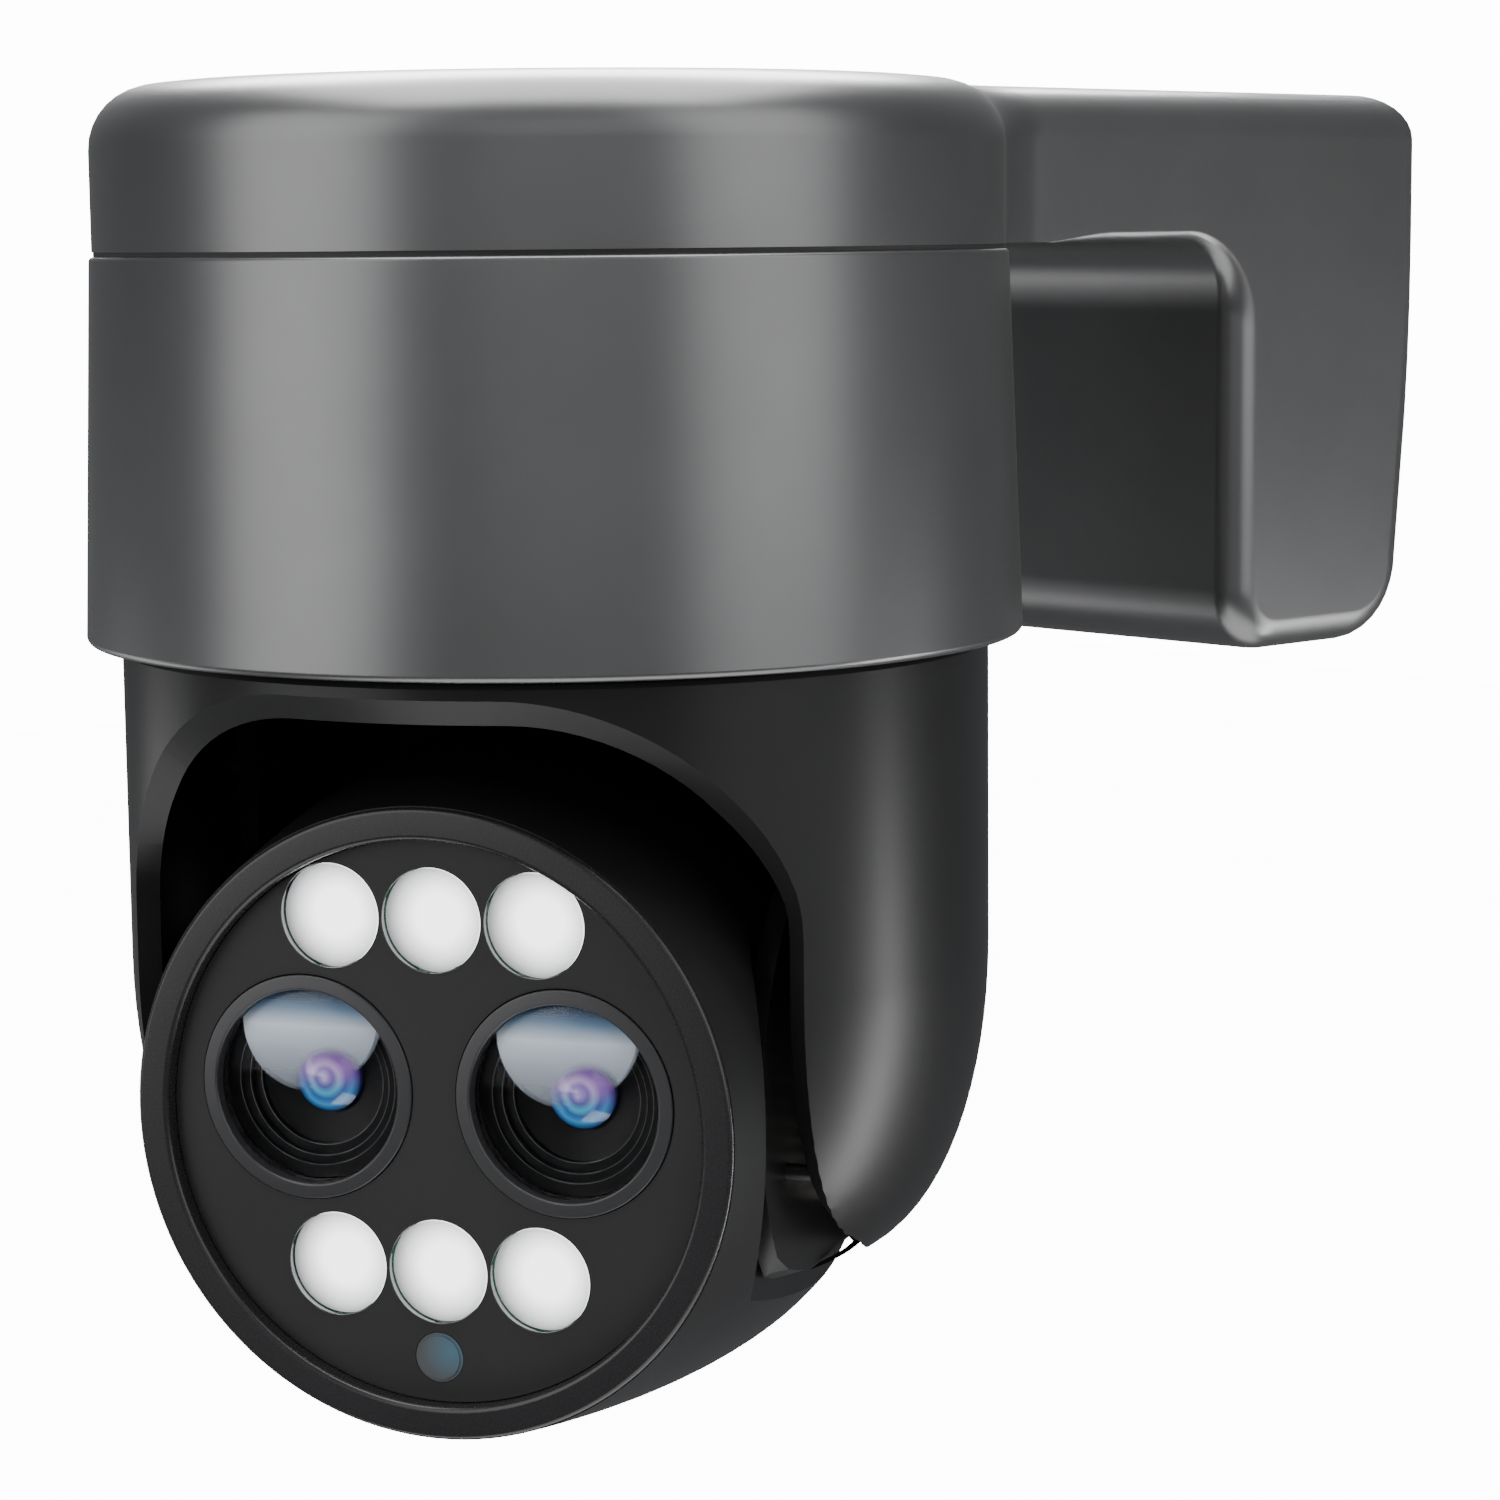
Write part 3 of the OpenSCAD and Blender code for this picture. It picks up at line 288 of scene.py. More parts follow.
def apply(piece, modifier):
    bpy.ops.object.select_all(action="DESELECT")
    bpy.context.view_layer.objects.active = piece
    piece.select_set(True)
    bpy.ops.object.modifier_apply(modifier=modifier.name)


def round_edges(piece, width, segments=3, angle=35, weighted=False):
    modifier = piece.modifiers.new("round edges", "BEVEL")
    modifier.width = width
    modifier.segments = segments
    modifier.limit_method = "WEIGHT" if weighted else "ANGLE"
    modifier.angle_limit = math.radians(angle)
    modifier.miter_outer = "MITER_ARC"
    modifier.use_clamp_overlap = not weighted
    apply(piece, modifier)


def smooth(piece, angle=35):
    bpy.ops.object.select_all(action="DESELECT")
    bpy.context.view_layer.objects.active = piece
    piece.select_set(True)
    bpy.ops.object.shade_smooth_by_angle(angle=math.radians(angle))
    modifier = piece.modifiers.new("even shading", "WEIGHTED_NORMAL")
    modifier.keep_sharp = True
    modifier.weight = 80
    apply(piece, modifier)


gunmetal = surface("satin gunmetal lacquer", (0.15, 0.151, 0.153), 0.34, metallic=0.85,
                   grain=2600, depth=0.000006, patches=0.05)
bracket_low, bracket_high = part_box("bracket_shell")
seam_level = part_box("seam_gasket")[1][2]
cap_radius = bracket_high[0]
cap_top = bracket_high[2] - seam_level
foot_bottom = bracket_low[2] - seam_level
arm_half = 0.031
foot_depth = 0.0385
flare_radius = 0.020
cap_round = 0.008
arm_round = 0.0065
foot_round = 0.0045
arm_under_round = 0.0014
inner_bend, toe_round, heel_round = 0.010, 0.009, 0.012
wall_line = -pan_axis.y

flare_y = math.sqrt((cap_radius + flare_radius) ** 2 - (arm_half + flare_radius) ** 2)
flare_turn = math.degrees(math.atan2(flare_y, arm_half + flare_radius))
half_outline = [(arm_half, wall_line), (arm_half, wall_line - foot_depth)]
half_outline += arc((arm_half + flare_radius, flare_y), flare_radius, 180, 180 + flare_turn, 10)
half_outline += arc((0, 0), cap_radius, flare_turn, -90, 64)[1:]
outline = half_outline + [(-x, y) for x, y in half_outline[-2::-1]]
bracket = prism("bracket", outline, cap_top)


def pick_faces(piece, wanted):
    """Opens the piece in edit mode with only the faces selected that wanted(face) says."""
    edit(piece)
    bpy.ops.mesh.select_mode(type="FACE")
    close()
    for face in piece.data.polygons:
        face.select = wanted(face)
    bpy.ops.object.mode_set(mode="EDIT")


def pick_edges(piece, wanted):
    """Opens the piece in edit mode with only the edges selected that wanted(end, other end) says."""
    edit(piece)
    bpy.ops.mesh.select_mode(type="EDGE")
    close()
    for edge in piece.data.edges:
        edge.select = wanted(*[piece.data.vertices[v].co for v in edge.vertices])
    bpy.ops.object.mode_set(mode="EDIT")


foot_front = wall_line - foot_depth
near = 0.00005
pick_faces(bracket, lambda face: face.normal.z < -0.9)
bpy.ops.mesh.bisect(plane_co=(0, foot_front, 0), plane_no=(0, 1, 0))
close()
pick_faces(bracket, lambda face: face.normal.z < -0.9 and face.center.y > foot_front)
bpy.ops.mesh.extrude_region_move(TRANSFORM_OT_translate={"value": (0, 0, foot_bottom)})
bpy.ops.mesh.select_all(action="SELECT")
bpy.ops.mesh.remove_doubles(threshold=0.00001)
bpy.ops.mesh.normals_make_consistent(inside=False)
close()
for y, z, radius, segments in ((foot_front, 0, inner_bend, 12), (foot_front, foot_bottom, toe_round, 8),
                               (wall_line, foot_bottom, heel_round, 8)):
    pick_edges(bracket, lambda p, q: all(abs(end.y - y) < near and abs(end.z - z) < near for end in (p, q)))
    bpy.ops.mesh.bevel(offset=radius, segments=segments, affect="EDGES")
    close()
# The two flat sides of the arm and foot are each made one face, and the long straight edges under
# the arm get points between, so that their rounding can fade out towards the flare
for side in (-1, 1):
    pick_faces(bracket, lambda face: face.normal.x * side > 0.999
               and abs(face.center.x * side - arm_half) < near)
    bpy.ops.mesh.dissolve_faces()
    close()
    pick_edges(bracket, lambda p, q: all(abs(end.x * side - arm_half) < near and abs(end.z) < near
                                         for end in (p, q)) and abs(p.y - q.y) > inner_bend)
    bpy.ops.mesh.subdivide(number_cuts=8)
    close()


def edge_round(p, q):
    """How far this edge of the bracket is rounded, as a share of the cap's rounding."""
    fade_start, fade_length = 0.003, 0.010
    blend_start = cap_radius * 0.7
    middle = (p + q) / 2
    on_side = abs(abs(p.x) - arm_half) < near and abs(abs(q.x) - arm_half) < near
    on_top = min(p.z, q.z) > cap_top - near
    if on_top and not on_side:
        blend = min(max((middle.y - blend_start) / (flare_y - blend_start), 0), 1)
        return 1 + (arm_round / cap_round - 1) * blend
    if on_side and on_top:
        return arm_round / cap_round
    crosses = abs(p.x - q.x) > near
    clear_of_flare = min(max((middle.y - flare_y - fade_start) / fade_length, 0), 1)
    along_back = min(p.y, q.y) > wall_line - near
    runs_under = max(p.z, q.z) < 0.001 and max(p.y, q.y) > flare_y + near
    if on_side and runs_under and not crosses and not along_back:
        depth = min(max(-middle.z / inner_bend, 0), 1)
        return clear_of_flare * (arm_under_round + (foot_round - arm_under_round) * depth) / cap_round
    return 0


weights = bracket.data.attributes.new("bevel_weight_edge", "FLOAT", "EDGE")
for edge in bracket.data.edges:
    ends = [bracket.data.vertices[v].co for v in edge.vertices]
    weights.data[edge.index].value = edge_round(*ends)
round_edges(bracket, cap_round, segments=8, weighted=True)
put(bracket, Matrix.Translation((pan_axis.x, pan_axis.y, seam_level)))
smooth(bracket, 30)
paint(bracket, gunmetal)
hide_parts("bracket_shell")
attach(bracket, "base")


# ---- Seam gasket and wall fixing ----
# A thin black rubber ring closes the seam between the cap and the base housing. Behind the bracket
# a zinc plated steel plate is screwed to the wall, and the cable passes through its rubber grommet.
black_rubber = surface("black seal rubber", (0.012, 0.012, 0.012), 0.62, grain=3000, depth=0.00002)
plate_steel = surface("zinc plated sheet", (0.56, 0.57, 0.58), 0.42, metallic=0.75, grain=700, depth=0.000004,
                      patches=0.12)
screw_steel = surface("bright screw steel", (0.62, 0.62, 0.61), 0.27, metallic=1.0, grain=4000,
                      depth=0.000003, patches=0.06)
blackened_steel = surface("blackened screw steel", (0.03, 0.03, 0.031), 0.4, metallic=0.6, grain=4000,
                          depth=0.000003)
for name in ("seam_gasket", "cable_grommet", "bezel_seal"):
    paint(name, black_rubber)
paint("wall_plate", plate_steel)
for name in nodes:
    if name.endswith("screws") or name == "gear_nut":
        paint(name, blackened_steel if name == "cheek_screws" else screw_steel)

# ---- Base housing ----
# A drum that widens a little downwards, turned and painted like the bracket. Its bottom edge is
# broken by a small round that catches the light, above the gap over the yoke.
housing_low, housing_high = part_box("base_housing")
housing_radius = housing_high[0]
housing_top = housing_high[2]
housing_bottom = housing_low[2]
housing_wall = 0.0026
top_radius = housing_radius - 0.0017
flange_radius, flange_thick = 0.0455, 0.0024
hub_room, floor_thick = 0.021, 0.0025
housing_profile = [(hub_room, housing_bottom), (housing_radius - 0.0012, housing_bottom)]
housing_profile += arc((housing_radius - 0.0009, housing_bottom + 0.0009), 0.0009, -70, 0, 4)
housing_profile += arc((top_radius - 0.0006, housing_top - 0.0006), 0.0006, 0, 90, 4)
housing_profile += [(flange_radius, housing_top), (flange_radius, housing_top - flange_thick),
                    (top_radius - housing_wall, housing_top - flange_thick),
                    (housing_radius - housing_wall, housing_bottom + floor_thick),
                    (hub_room, housing_bottom + floor_thick)]
housing = spun("base_drum", housing_profile, steps=160, closed=True)
put(housing, Matrix.Translation((pan_axis.x, pan_axis.y, 0)))
smooth(housing, 40)
paint(housing, gunmetal)
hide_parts("base_housing")
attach(housing, "base")

# ---- Pan drive inside the base ----
# A moulded chassis carries the circuit board, a small stepper motor and a ball bearing. The motor's
# nylon pinion turns the large nylon gear that is clamped to the yoke's hub.
grey_plastic = surface("moulded grey plastic", (0.16, 0.165, 0.17), 0.5, grain=1500, depth=0.00001)
circuit_board = surface("green circuit board", (0.012, 0.09, 0.045), 0.42, grain=900, depth=0.00001,
                        patches=0.3)
chip_black = surface("black chip resin", (0.02, 0.02, 0.021), 0.45, grain=2500, depth=0.00001)
motor_steel = surface("drawn motor steel", (0.5, 0.51, 0.52), 0.33, metallic=1.0, grain=1200, depth=0.000004)
bearing_steel = surface("ground bearing steel", (0.66, 0.67, 0.68), 0.18, metallic=1.0, grain=5000,
                        depth=0.000001, patches=0.03)
gear_nylon = surface("natural nylon", (0.72, 0.70, 0.64), 0.45, grain=800, depth=0.00001, patches=0.05)
for name in ("pan_chassis", "yoke_hub", "trunnion_left", "trunnion_right", "head_frame"):
    paint(name, grey_plastic)
for name in ("main_board", "lamp_board", "sensor_board_left", "sensor_board_right"):
    paint(name, circuit_board)
paint("board_parts", chip_black)
for name in ("pan_motor", "tilt_motor"):
    paint(name, motor_steel)
for name in ("pan_bearing_outer", "pan_bearing_balls", "pan_bearing_inner"):
    paint(name, bearing_steel)
for name in ("pan_pinion", "pan_gear", "tilt_pinion", "tilt_gear", "tilt_bushes"):
    paint(name, gear_nylon)

# ---- Yoke ----
# A moulded black shell, turned below into a flattened dome, with a round-arched opening at the front
# for the head. The opening's edge is a broad bevel that follows the shell's curve down both arms.
black_plastic = surface("textured black plastic", (0.0125, 0.0125, 0.013), 0.32, grain=3200, depth=0.000006,
                        patches=0.12, shine=0.25)
yoke_place = Matrix.Translation((pan_axis.x, pan_axis.y, seam_level)) @ Matrix.Rotation(
    math.atan2(sideways.y, sideways.x), 4, "Z")
yoke_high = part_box("yoke_shell")[1]
yoke_radius = yoke_high[0]
yoke_top = yoke_high[2] - seam_level
yoke_straight = -0.0892
dome_in, dome_drop = 0.0165, 0.0385
yoke_wall = 0.003
hub_hole = 0.008
bevel_reach, top_stretch = 0.006, 1.065


def yoke_outline(inset):
    """The shell's profile from its top edge down to the middle of its dome, this far inside."""
    turned = [math.radians(step * 5) for step in range(19)]
    return [(yoke_radius - inset, yoke_top - max(inset, 0.0006))] + [
        (yoke_radius - inset - dome_in * (1 - math.cos(a)), yoke_straight - (dome_drop - inset) * math.sin(a))
        for a in turned]


def yoke_radius_at(z, inset):
    """The shell's radius at a height, for a surface this far inside."""
    sink = min(max((yoke_straight - z) / (dome_drop - inset), 0), 1)
    return yoke_radius - inset - dome_in * (1 - math.sqrt(1 - sink * sink))


opening_half, opening_top, arch_radius = 0.0405, -0.0547, 0.027
drum_room, room_start, room_length = 0.00125, -0.066, 0.012
arm_heights = (-0.1276, -0.1275, -0.1273, -0.127, -0.1266, -0.1261, -0.1254, -0.1246, -0.1236, -0.1224,
               -0.121, -0.1194, -0.1176, -0.1156, -0.1134, -0.111, -0.108, -0.105, -0.102, -0.099, -0.096,
               -0.0935, -0.0912, -0.0892, -0.087, -0.085, -0.083)


def opening(half, top, radius, widened):
    """The opening's outline seen from the front, from the bottom left round the arch to the bottom right."""
    plain = [(half, z) for z in arm_heights] + arc((half - radius, top - radius), radius, 0, 90, 20)
    plain += [(x, top) for x in (0.0115, 0.0095, 0.0075, 0.0055, 0.0035, 0.0012)]
    right = [(x + widened * min(max((room_start - z) / room_length, 0), 1), z) for x, z in plain]
    return [(-x, z) for x, z in right] + [(x, z) for x, z in right[::-1]]


def on_shell(outline, inset):
    """The outline's points moved onto the front of the shell's surface this far inside."""
    return [(x, -math.sqrt(max(yoke_radius_at(z, inset) ** 2 - x * x, 0.0000001)), z) for x, z in outline]


def cutter_through(name, loops):
    """A closed solid with a skin between one loop of points and the next, and its two ends filled."""
    piece = None
    for loop in loops:
        ring = drawn_line(name, loop)
        bpy.ops.mesh.select_all(action="DESELECT")
        close()
        ring.data.vertices[0].select = True
        ring.data.vertices[len(loop) - 1].select = True
        bpy.ops.object.mode_set(mode="EDIT")
        bpy.ops.mesh.edge_face_add()
        close()
        if piece:
            bpy.ops.object.select_all(action="DESELECT")
            ring.select_set(True)
            piece.select_set(True)
            bpy.context.view_layer.objects.active = piece
            bpy.ops.object.join()
        else:
            piece = ring
    count = len(loops[0])
    for index in range(len(loops) - 1):
        pick_edges(piece, lambda p, q: False)
        close()
        for edge in piece.data.edges:
            edge.select = all(index * count <= v < (index + 2) * count for v in edge.vertices)
        bpy.ops.object.mode_set(mode="EDIT")
        bpy.ops.mesh.bridge_edge_loops()
        close()
    for first in (0, (len(loops) - 1) * count):
        pick_edges(piece, lambda p, q: False)
        close()
        for edge in piece.data.edges:
            edge.select = all(first <= v < first + count for v in edge.vertices)
        bpy.ops.object.mode_set(mode="EDIT")
        bpy.ops.mesh.fill()
        close()
    edit(piece)
    bpy.ops.mesh.select_all(action="SELECT")
    bpy.ops.mesh.normals_make_consistent(inside=False)
    close()
    return piece


def block(low, high):
    """A plain cutter between two corners."""
    bpy.ops.object.select_all(action="DESELECT")
    bpy.ops.mesh.primitive_cube_add(size=1, location=[(a + b) / 2 for a, b in zip(low, high)])
    piece = bpy.context.object
    piece.scale = [b - a for a, b in zip(low, high)]
    bpy.ops.object.transform_apply(location=True, rotation=True, scale=True)
    return piece


skin = yoke_outline(0)
lining = yoke_outline(yoke_wall)
yoke = spun("yoke_dome", [(hub_hole, yoke_top), (yoke_radius - 0.0006, yoke_top)] + skin + lining[::-1]
            + [(hub_hole, yoke_top - yoke_wall)], steps=160, closed=True)
inner_edge = opening(opening_half, opening_top, arch_radius, drum_room)
wide_edge = opening(opening_half + bevel_reach, opening_top + top_stretch * bevel_reach,
                    arch_radius + bevel_reach, 0.0)
inner_loop = on_shell(inner_edge, yoke_wall)
wide_loop = on_shell(wide_edge, yoke_wall - bevel_reach)
in_front, behind_arms = -0.080, 0.0015
cut(yoke, cutter_through("opening_cutter", [
    [(x, in_front, z) for x, y, z in wide_loop], wide_loop, inner_loop,
    [(x, behind_arms, z) for x, y, z in inner_loop]]))
# The back wall ends in a wide arch over the ball, and the dome is open below between the arms
slot_half, gap_corner, gap_low, gap_high = 0.0356, 0.010, -0.140, -0.110
below_half, below_low, below_high, far = 0.0379, -0.135, -0.112, 0.060
rear_gap = prism("rear_gap", [(-slot_half, gap_low), (slot_half, gap_low)]
                 + arc((slot_half - gap_corner, gap_high), gap_corner, 0, 90, 8)
                 + arc((-slot_half + gap_corner, gap_high), gap_corner, 90, 180, 8), 0.070)
put(rear_gap, Matrix.Rotation(math.radians(90), 4, "X") @ Matrix.Scale(-1, 4, (0, 0, 1)))
edit(rear_gap)
bpy.ops.mesh.select_all(action="SELECT")
bpy.ops.mesh.normals_make_consistent(inside=False)
close()
cut(yoke, rear_gap, block((-below_half, -far, below_low), (below_half, far, below_high)))
put(yoke, yoke_place)
smooth(yoke, 28)
paint(yoke, black_plastic)
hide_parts("yoke_shell")
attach(yoke, "yoke")
for name in ("cheek_left", "cheek_right", "card_cover"):
    paint(name, black_plastic)

# ---- Head shells ----
# The ball and its drum are two moulded black shells that meet behind the tilt axis. Each side has a
# round flat-bottomed pocket for an arm of the yoke, and the trunnion comes out at its middle.
head_place = Matrix((sideways, upwards, forwards)).transposed().to_4x4()
head_place.translation = tilt_axis


def local_box(name, place):
    """The lowest and highest corner of a node, seen from the given place."""
    seen_from = place.inverted()
    corners = [seen_from @ vertex.co for vertex in nodes[name].data.vertices]
    return ([min(c[axis] for c in corners) for axis in range(3)],
            [max(c[axis] for c in corners) for axis in range(3)])


rear_high = local_box("head_rear_shell", head_place)[1]
bezel_high = local_box("head_bezel", head_place)[1]
ball_radius = rear_high[1]
rim_radius = bezel_high[0]
rim_depth = bezel_high[2]
drum_depth = rim_depth - 0.0006
head_wall = 0.0024
split_depth = rear_high[2]
pocket_floor = 0.0348
pocket_radius = 0.033
pocket_reach = 0.0042
trunnion_radius = 0.006
seam_gap = 0.00008
drum_curve = 1.5


def head_outline(inset, length):
    """The head's profile from the back of the ball to this length in front, this far inside."""
    ball = arc((0, 0), ball_radius - inset, -90, 0, 26)
    drum = [length * step / 16 for step in range(1, 17)]
    taper = ball_radius - rim_radius
    return ball + [(ball_radius - taper * (d / rim_depth) ** drum_curve - inset, d) for d in drum]


def head_solid(name, inset, length):
    """The head's closed outer form, or its inside, with a pocket on each side."""
    solid = spun(name, head_outline(inset, length) + [(0, length)])
    for side in (-1, 1):
        front_turn = 90 if side > 0 else -90
        outline = arc((-side * pocket_reach, 0), pocket_radius + inset, front_turn, front_turn + 180, 48)
        outline += arc((0, 0), pocket_radius + inset, front_turn + 180, front_turn + 360, 48)
        pocket = prism("pocket", outline, 0.020, pocket_floor - inset)
        put(pocket, Matrix.Rotation(math.radians(90 * side), 4, "Y"))
        cut(solid, pocket)
    return solid


head_shell = head_solid("head_shell", 0, drum_depth)
cut(head_shell, head_solid("head_inside", head_wall, drum_depth + 0.002))
for side in (-1, 1):
    hole = prism("trunnion_hole", arc((0, 0), trunnion_radius, 0, 360, 48)[:-1], 0.020, 0.028)
    put(hole, Matrix.Rotation(math.radians(90 * side), 4, "Y"))
    cut(head_shell, hole)
bpy.ops.object.select_all(action="DESELECT")
head_shell.select_set(True)
bpy.context.view_layer.objects.active = head_shell
bpy.ops.object.duplicate()
rear_shell = bpy.context.object
cut(head_shell, block((-far, -far, -far), (far, far, split_depth + seam_gap)))
cut(rear_shell, block((-far, -far, split_depth - seam_gap), (far, far, far)))
card_low, card_high = local_box("card_cover", head_place)
card_round = 0.0048
card_outline = []
for x, y, turn in ((card_high[0] - card_round, card_high[1] - card_round, 0),
                   (card_low[0] + card_round, card_high[1] - card_round, 90),
                   (card_low[0] + card_round, card_low[1] + card_round, 180),
                   (card_high[0] - card_round, card_low[1] + card_round, 270)):
    card_outline += arc((x, y), card_round + 0.0001, turn, turn + 90, 8)
cut(rear_shell, prism("card_seat", card_outline, 0.030, -0.060))
for piece, name, node in ((head_shell, "head_front", "head_front_shell"),
                          (rear_shell, "head_rear", "head_rear_shell")):
    piece.name = name
    put(piece, head_place)
    smooth(piece, 28)
    paint(piece, black_plastic)
    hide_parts(node)
    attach(piece, "head")

# ---- Bezel and face plate ----
# A glossier black ring is pressed into the drum. The flat face plate sits a little behind it, with
# holes for the lenses, six lamps and the light sensor, each with a finely broken edge.
bezel_plastic = surface("bezel plastic", (0.016, 0.016, 0.017), 0.27, grain=3200, depth=0.0000005, coat=0.1,
                        shine=0.35)
face_plastic = surface("fine matt face plastic", (0.019, 0.019, 0.0195), 0.45, grain=3800, depth=0.00002,
                       patches=0.1, shine=0.3)
plate_high = local_box("face_plate", head_place)[1]
face_radius = plate_high[0]
face_depth = plate_high[2]
face_thick = 0.0022
sleeve_radius = rim_radius - head_wall - 0.0004
sleeve_depth = rim_depth - 0.005
plate_fit = 0.0001
bezel_profile = [(face_radius + plate_fit, face_depth - 0.0002),
                 (face_radius + plate_fit, rim_depth - 0.0007)]
bezel_profile += arc((face_radius + 0.0008, rim_depth - 0.0007), 0.0007, 180, 90, 5)
bezel_profile += arc((rim_radius - 0.0006, rim_depth - 0.0006), 0.0006, 90, 0, 5)
bezel_profile += [(sleeve_radius, rim_depth - 0.0006), (sleeve_radius - 0.0002, sleeve_depth),
                  (face_radius - plate_fit, sleeve_depth), (face_radius - plate_fit, face_depth - 0.0024),
                  (face_radius + plate_fit, face_depth - 0.0024)]
bezel = spun("bezel", bezel_profile, steps=160, closed=True)
put(bezel, head_place)
smooth(bezel, 40)
paint(bezel, bezel_plastic)
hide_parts("head_bezel")
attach(bezel, "head")

lens_centres = []
for side in ("left", "right"):
    ring_low, ring_high = local_box("lens_ring_" + side, head_place)
    lens_centres.append(((ring_low[0] + ring_high[0]) / 2, (ring_low[1] + ring_high[1]) / 2))
ring_radius = (ring_high[0] - ring_low[0]) / 2
lamp_low, lamp_high = local_box("lamp_lenses", head_place)
lamp_radius = 0.00635
lamp_pitch = (lamp_high[0] - lamp_low[0]) / 2 - lamp_radius
lamp_centres = [(column * lamp_pitch, row) for row in (lamp_high[1] - lamp_radius, lamp_low[1] + lamp_radius)
                for column in (-1, 0, 1)]
eye_low, eye_high = local_box("light_sensor", head_place)
eye_radius = (eye_high[0] - eye_low[0]) / 2
eye_centre = ((eye_low[0] + eye_high[0]) / 2, (eye_low[1] + eye_high[1]) / 2)


def disc(centre, radius, steps):
    return [(centre[0] + x, centre[1] + y) for x, y in arc((0, 0), radius, 0, 360, steps)[:-1]]


face = prism("face", disc((0, 0), face_radius, 160), face_thick, face_depth - face_thick)
holes = [(centre, ring_radius + 0.00012, 96) for centre in lens_centres]
holes += [(centre, lamp_radius + 0.00012, 64) for centre in lamp_centres]
holes += [(eye_centre, eye_radius + 0.00008, 48)]
for centre, radius, steps in holes:
    cut(face, prism("hole", disc(centre, radius, steps), 0.010, face_depth - 0.005))
round_edges(face, 0.00022, segments=2, angle=50)
put(face, head_place)
smooth(face, 40)
paint(face, face_plastic)
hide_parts("face_plate")
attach(face, "head")

# ---- Lenses ----
# Each lens has a satin ring in the face, a black barrel with fine steps whose edges carry painted highlights,
# a coated front element painted with purple and blue reflections and a faint painted glow, and a shallow dome
# of glass over them whose upper half carries a painted pale blue reflection.
ring_metal = surface("satin ring metal", (0.046, 0.046, 0.048), 0.34, metallic=0.35, grain=2600,
                     depth=0.000006)
barrel_black = surface("matt barrel black", (0.006, 0.006, 0.0065), 0.45, grain=3000, depth=0.00001,
                       shine=0.15)
# The lighter step metal is a painted highlight for the edges of the barrel's steps, not wear
step_highlight_metal = surface("barrel step highlight", (0.16, 0.16, 0.165), 0.35, metallic=0.5, grain=3000, depth=0.00001)
window_low, window_high = local_box("lens_window_right", head_place)
window_radius = (window_high[0] - window_low[0]) / 2 + 0.00005
core_low, core_high = local_box("lens_core_right", head_place)
core_radius = (core_high[0] - core_low[0]) / 2


def face_place(tree, centre, radius=1.0):
    """Object coordinates turned to the head's face and measured in radii from a centre."""
    place = tree.nodes.new("ShaderNodeTexCoord")
    local = tree.nodes.new("ShaderNodeMapping")
    local.vector_type = "TEXTURE"
    local.inputs["Location"].default_value = head_place @ Vector(centre)
    local.inputs["Rotation"].default_value = head_place.to_euler("XYZ")
    local.inputs["Scale"].default_value = (radius, radius, radius)
    tree.links.new(place.outputs["Object"], local.inputs["Vector"])
    return local.outputs["Vector"]


def face_axes(tree, centre, radius):
    """How far sideways and how far up a point on the face is from a centre, in radii."""
    axes = tree.nodes.new("ShaderNodeSeparateXYZ")
    tree.links.new(face_place(tree, (centre[0], centre[1], 0), radius), axes.inputs["Vector"])
    return axes.outputs["X"], axes.outputs["Y"]


def flat_reach(tree, sideways_output, up_output, centre=(0, 0, 0)):
    """How far a point on the face is from a centre, from its two outputs."""
    flat = tree.nodes.new("ShaderNodeCombineXYZ")
    tree.links.new(sideways_output, flat.inputs["X"])
    tree.links.new(up_output, flat.inputs["Y"])
    reach = tree.nodes.new("ShaderNodeVectorMath")
    reach.operation = "DISTANCE"
    reach.inputs[1].default_value = centre
    tree.links.new(flat.outputs["Vector"], reach.inputs[0])
    return reach.outputs["Value"]


def ramp(tree, stops, factor_output):
    """A colour ramp through these stops of position and colour."""
    shades = tree.nodes.new("ShaderNodeValToRGB")
    while len(shades.color_ramp.elements) < len(stops):
        shades.color_ramp.elements.new(0.5)
    for element, (position, color) in zip(shades.color_ramp.elements, stops):
        element.position = position
        element.color = (*color, 1)
    tree.links.new(factor_output, shades.inputs["Fac"])
    return shades.outputs["Color"]


def step_between(tree, low, high, factor_output, from_share=0.0):
    """A smooth step from one share, at the low value, up to all of it at the high value."""
    step = tree.nodes.new("ShaderNodeMapRange")
    step.interpolation_type = "SMOOTHSTEP"
    step.inputs["From Min"].default_value = low
    step.inputs["From Max"].default_value = high
    step.inputs["To Min"].default_value = from_share
    tree.links.new(factor_output, step.inputs["Value"])
    return step.outputs["Result"]


def product(tree, one_output, other_output):
    times = tree.nodes.new("ShaderNodeMath")
    times.operation = "MULTIPLY"
    tree.links.new(one_output, times.inputs[0])
    tree.links.new(other_output, times.inputs[1])
    return times.outputs["Value"]


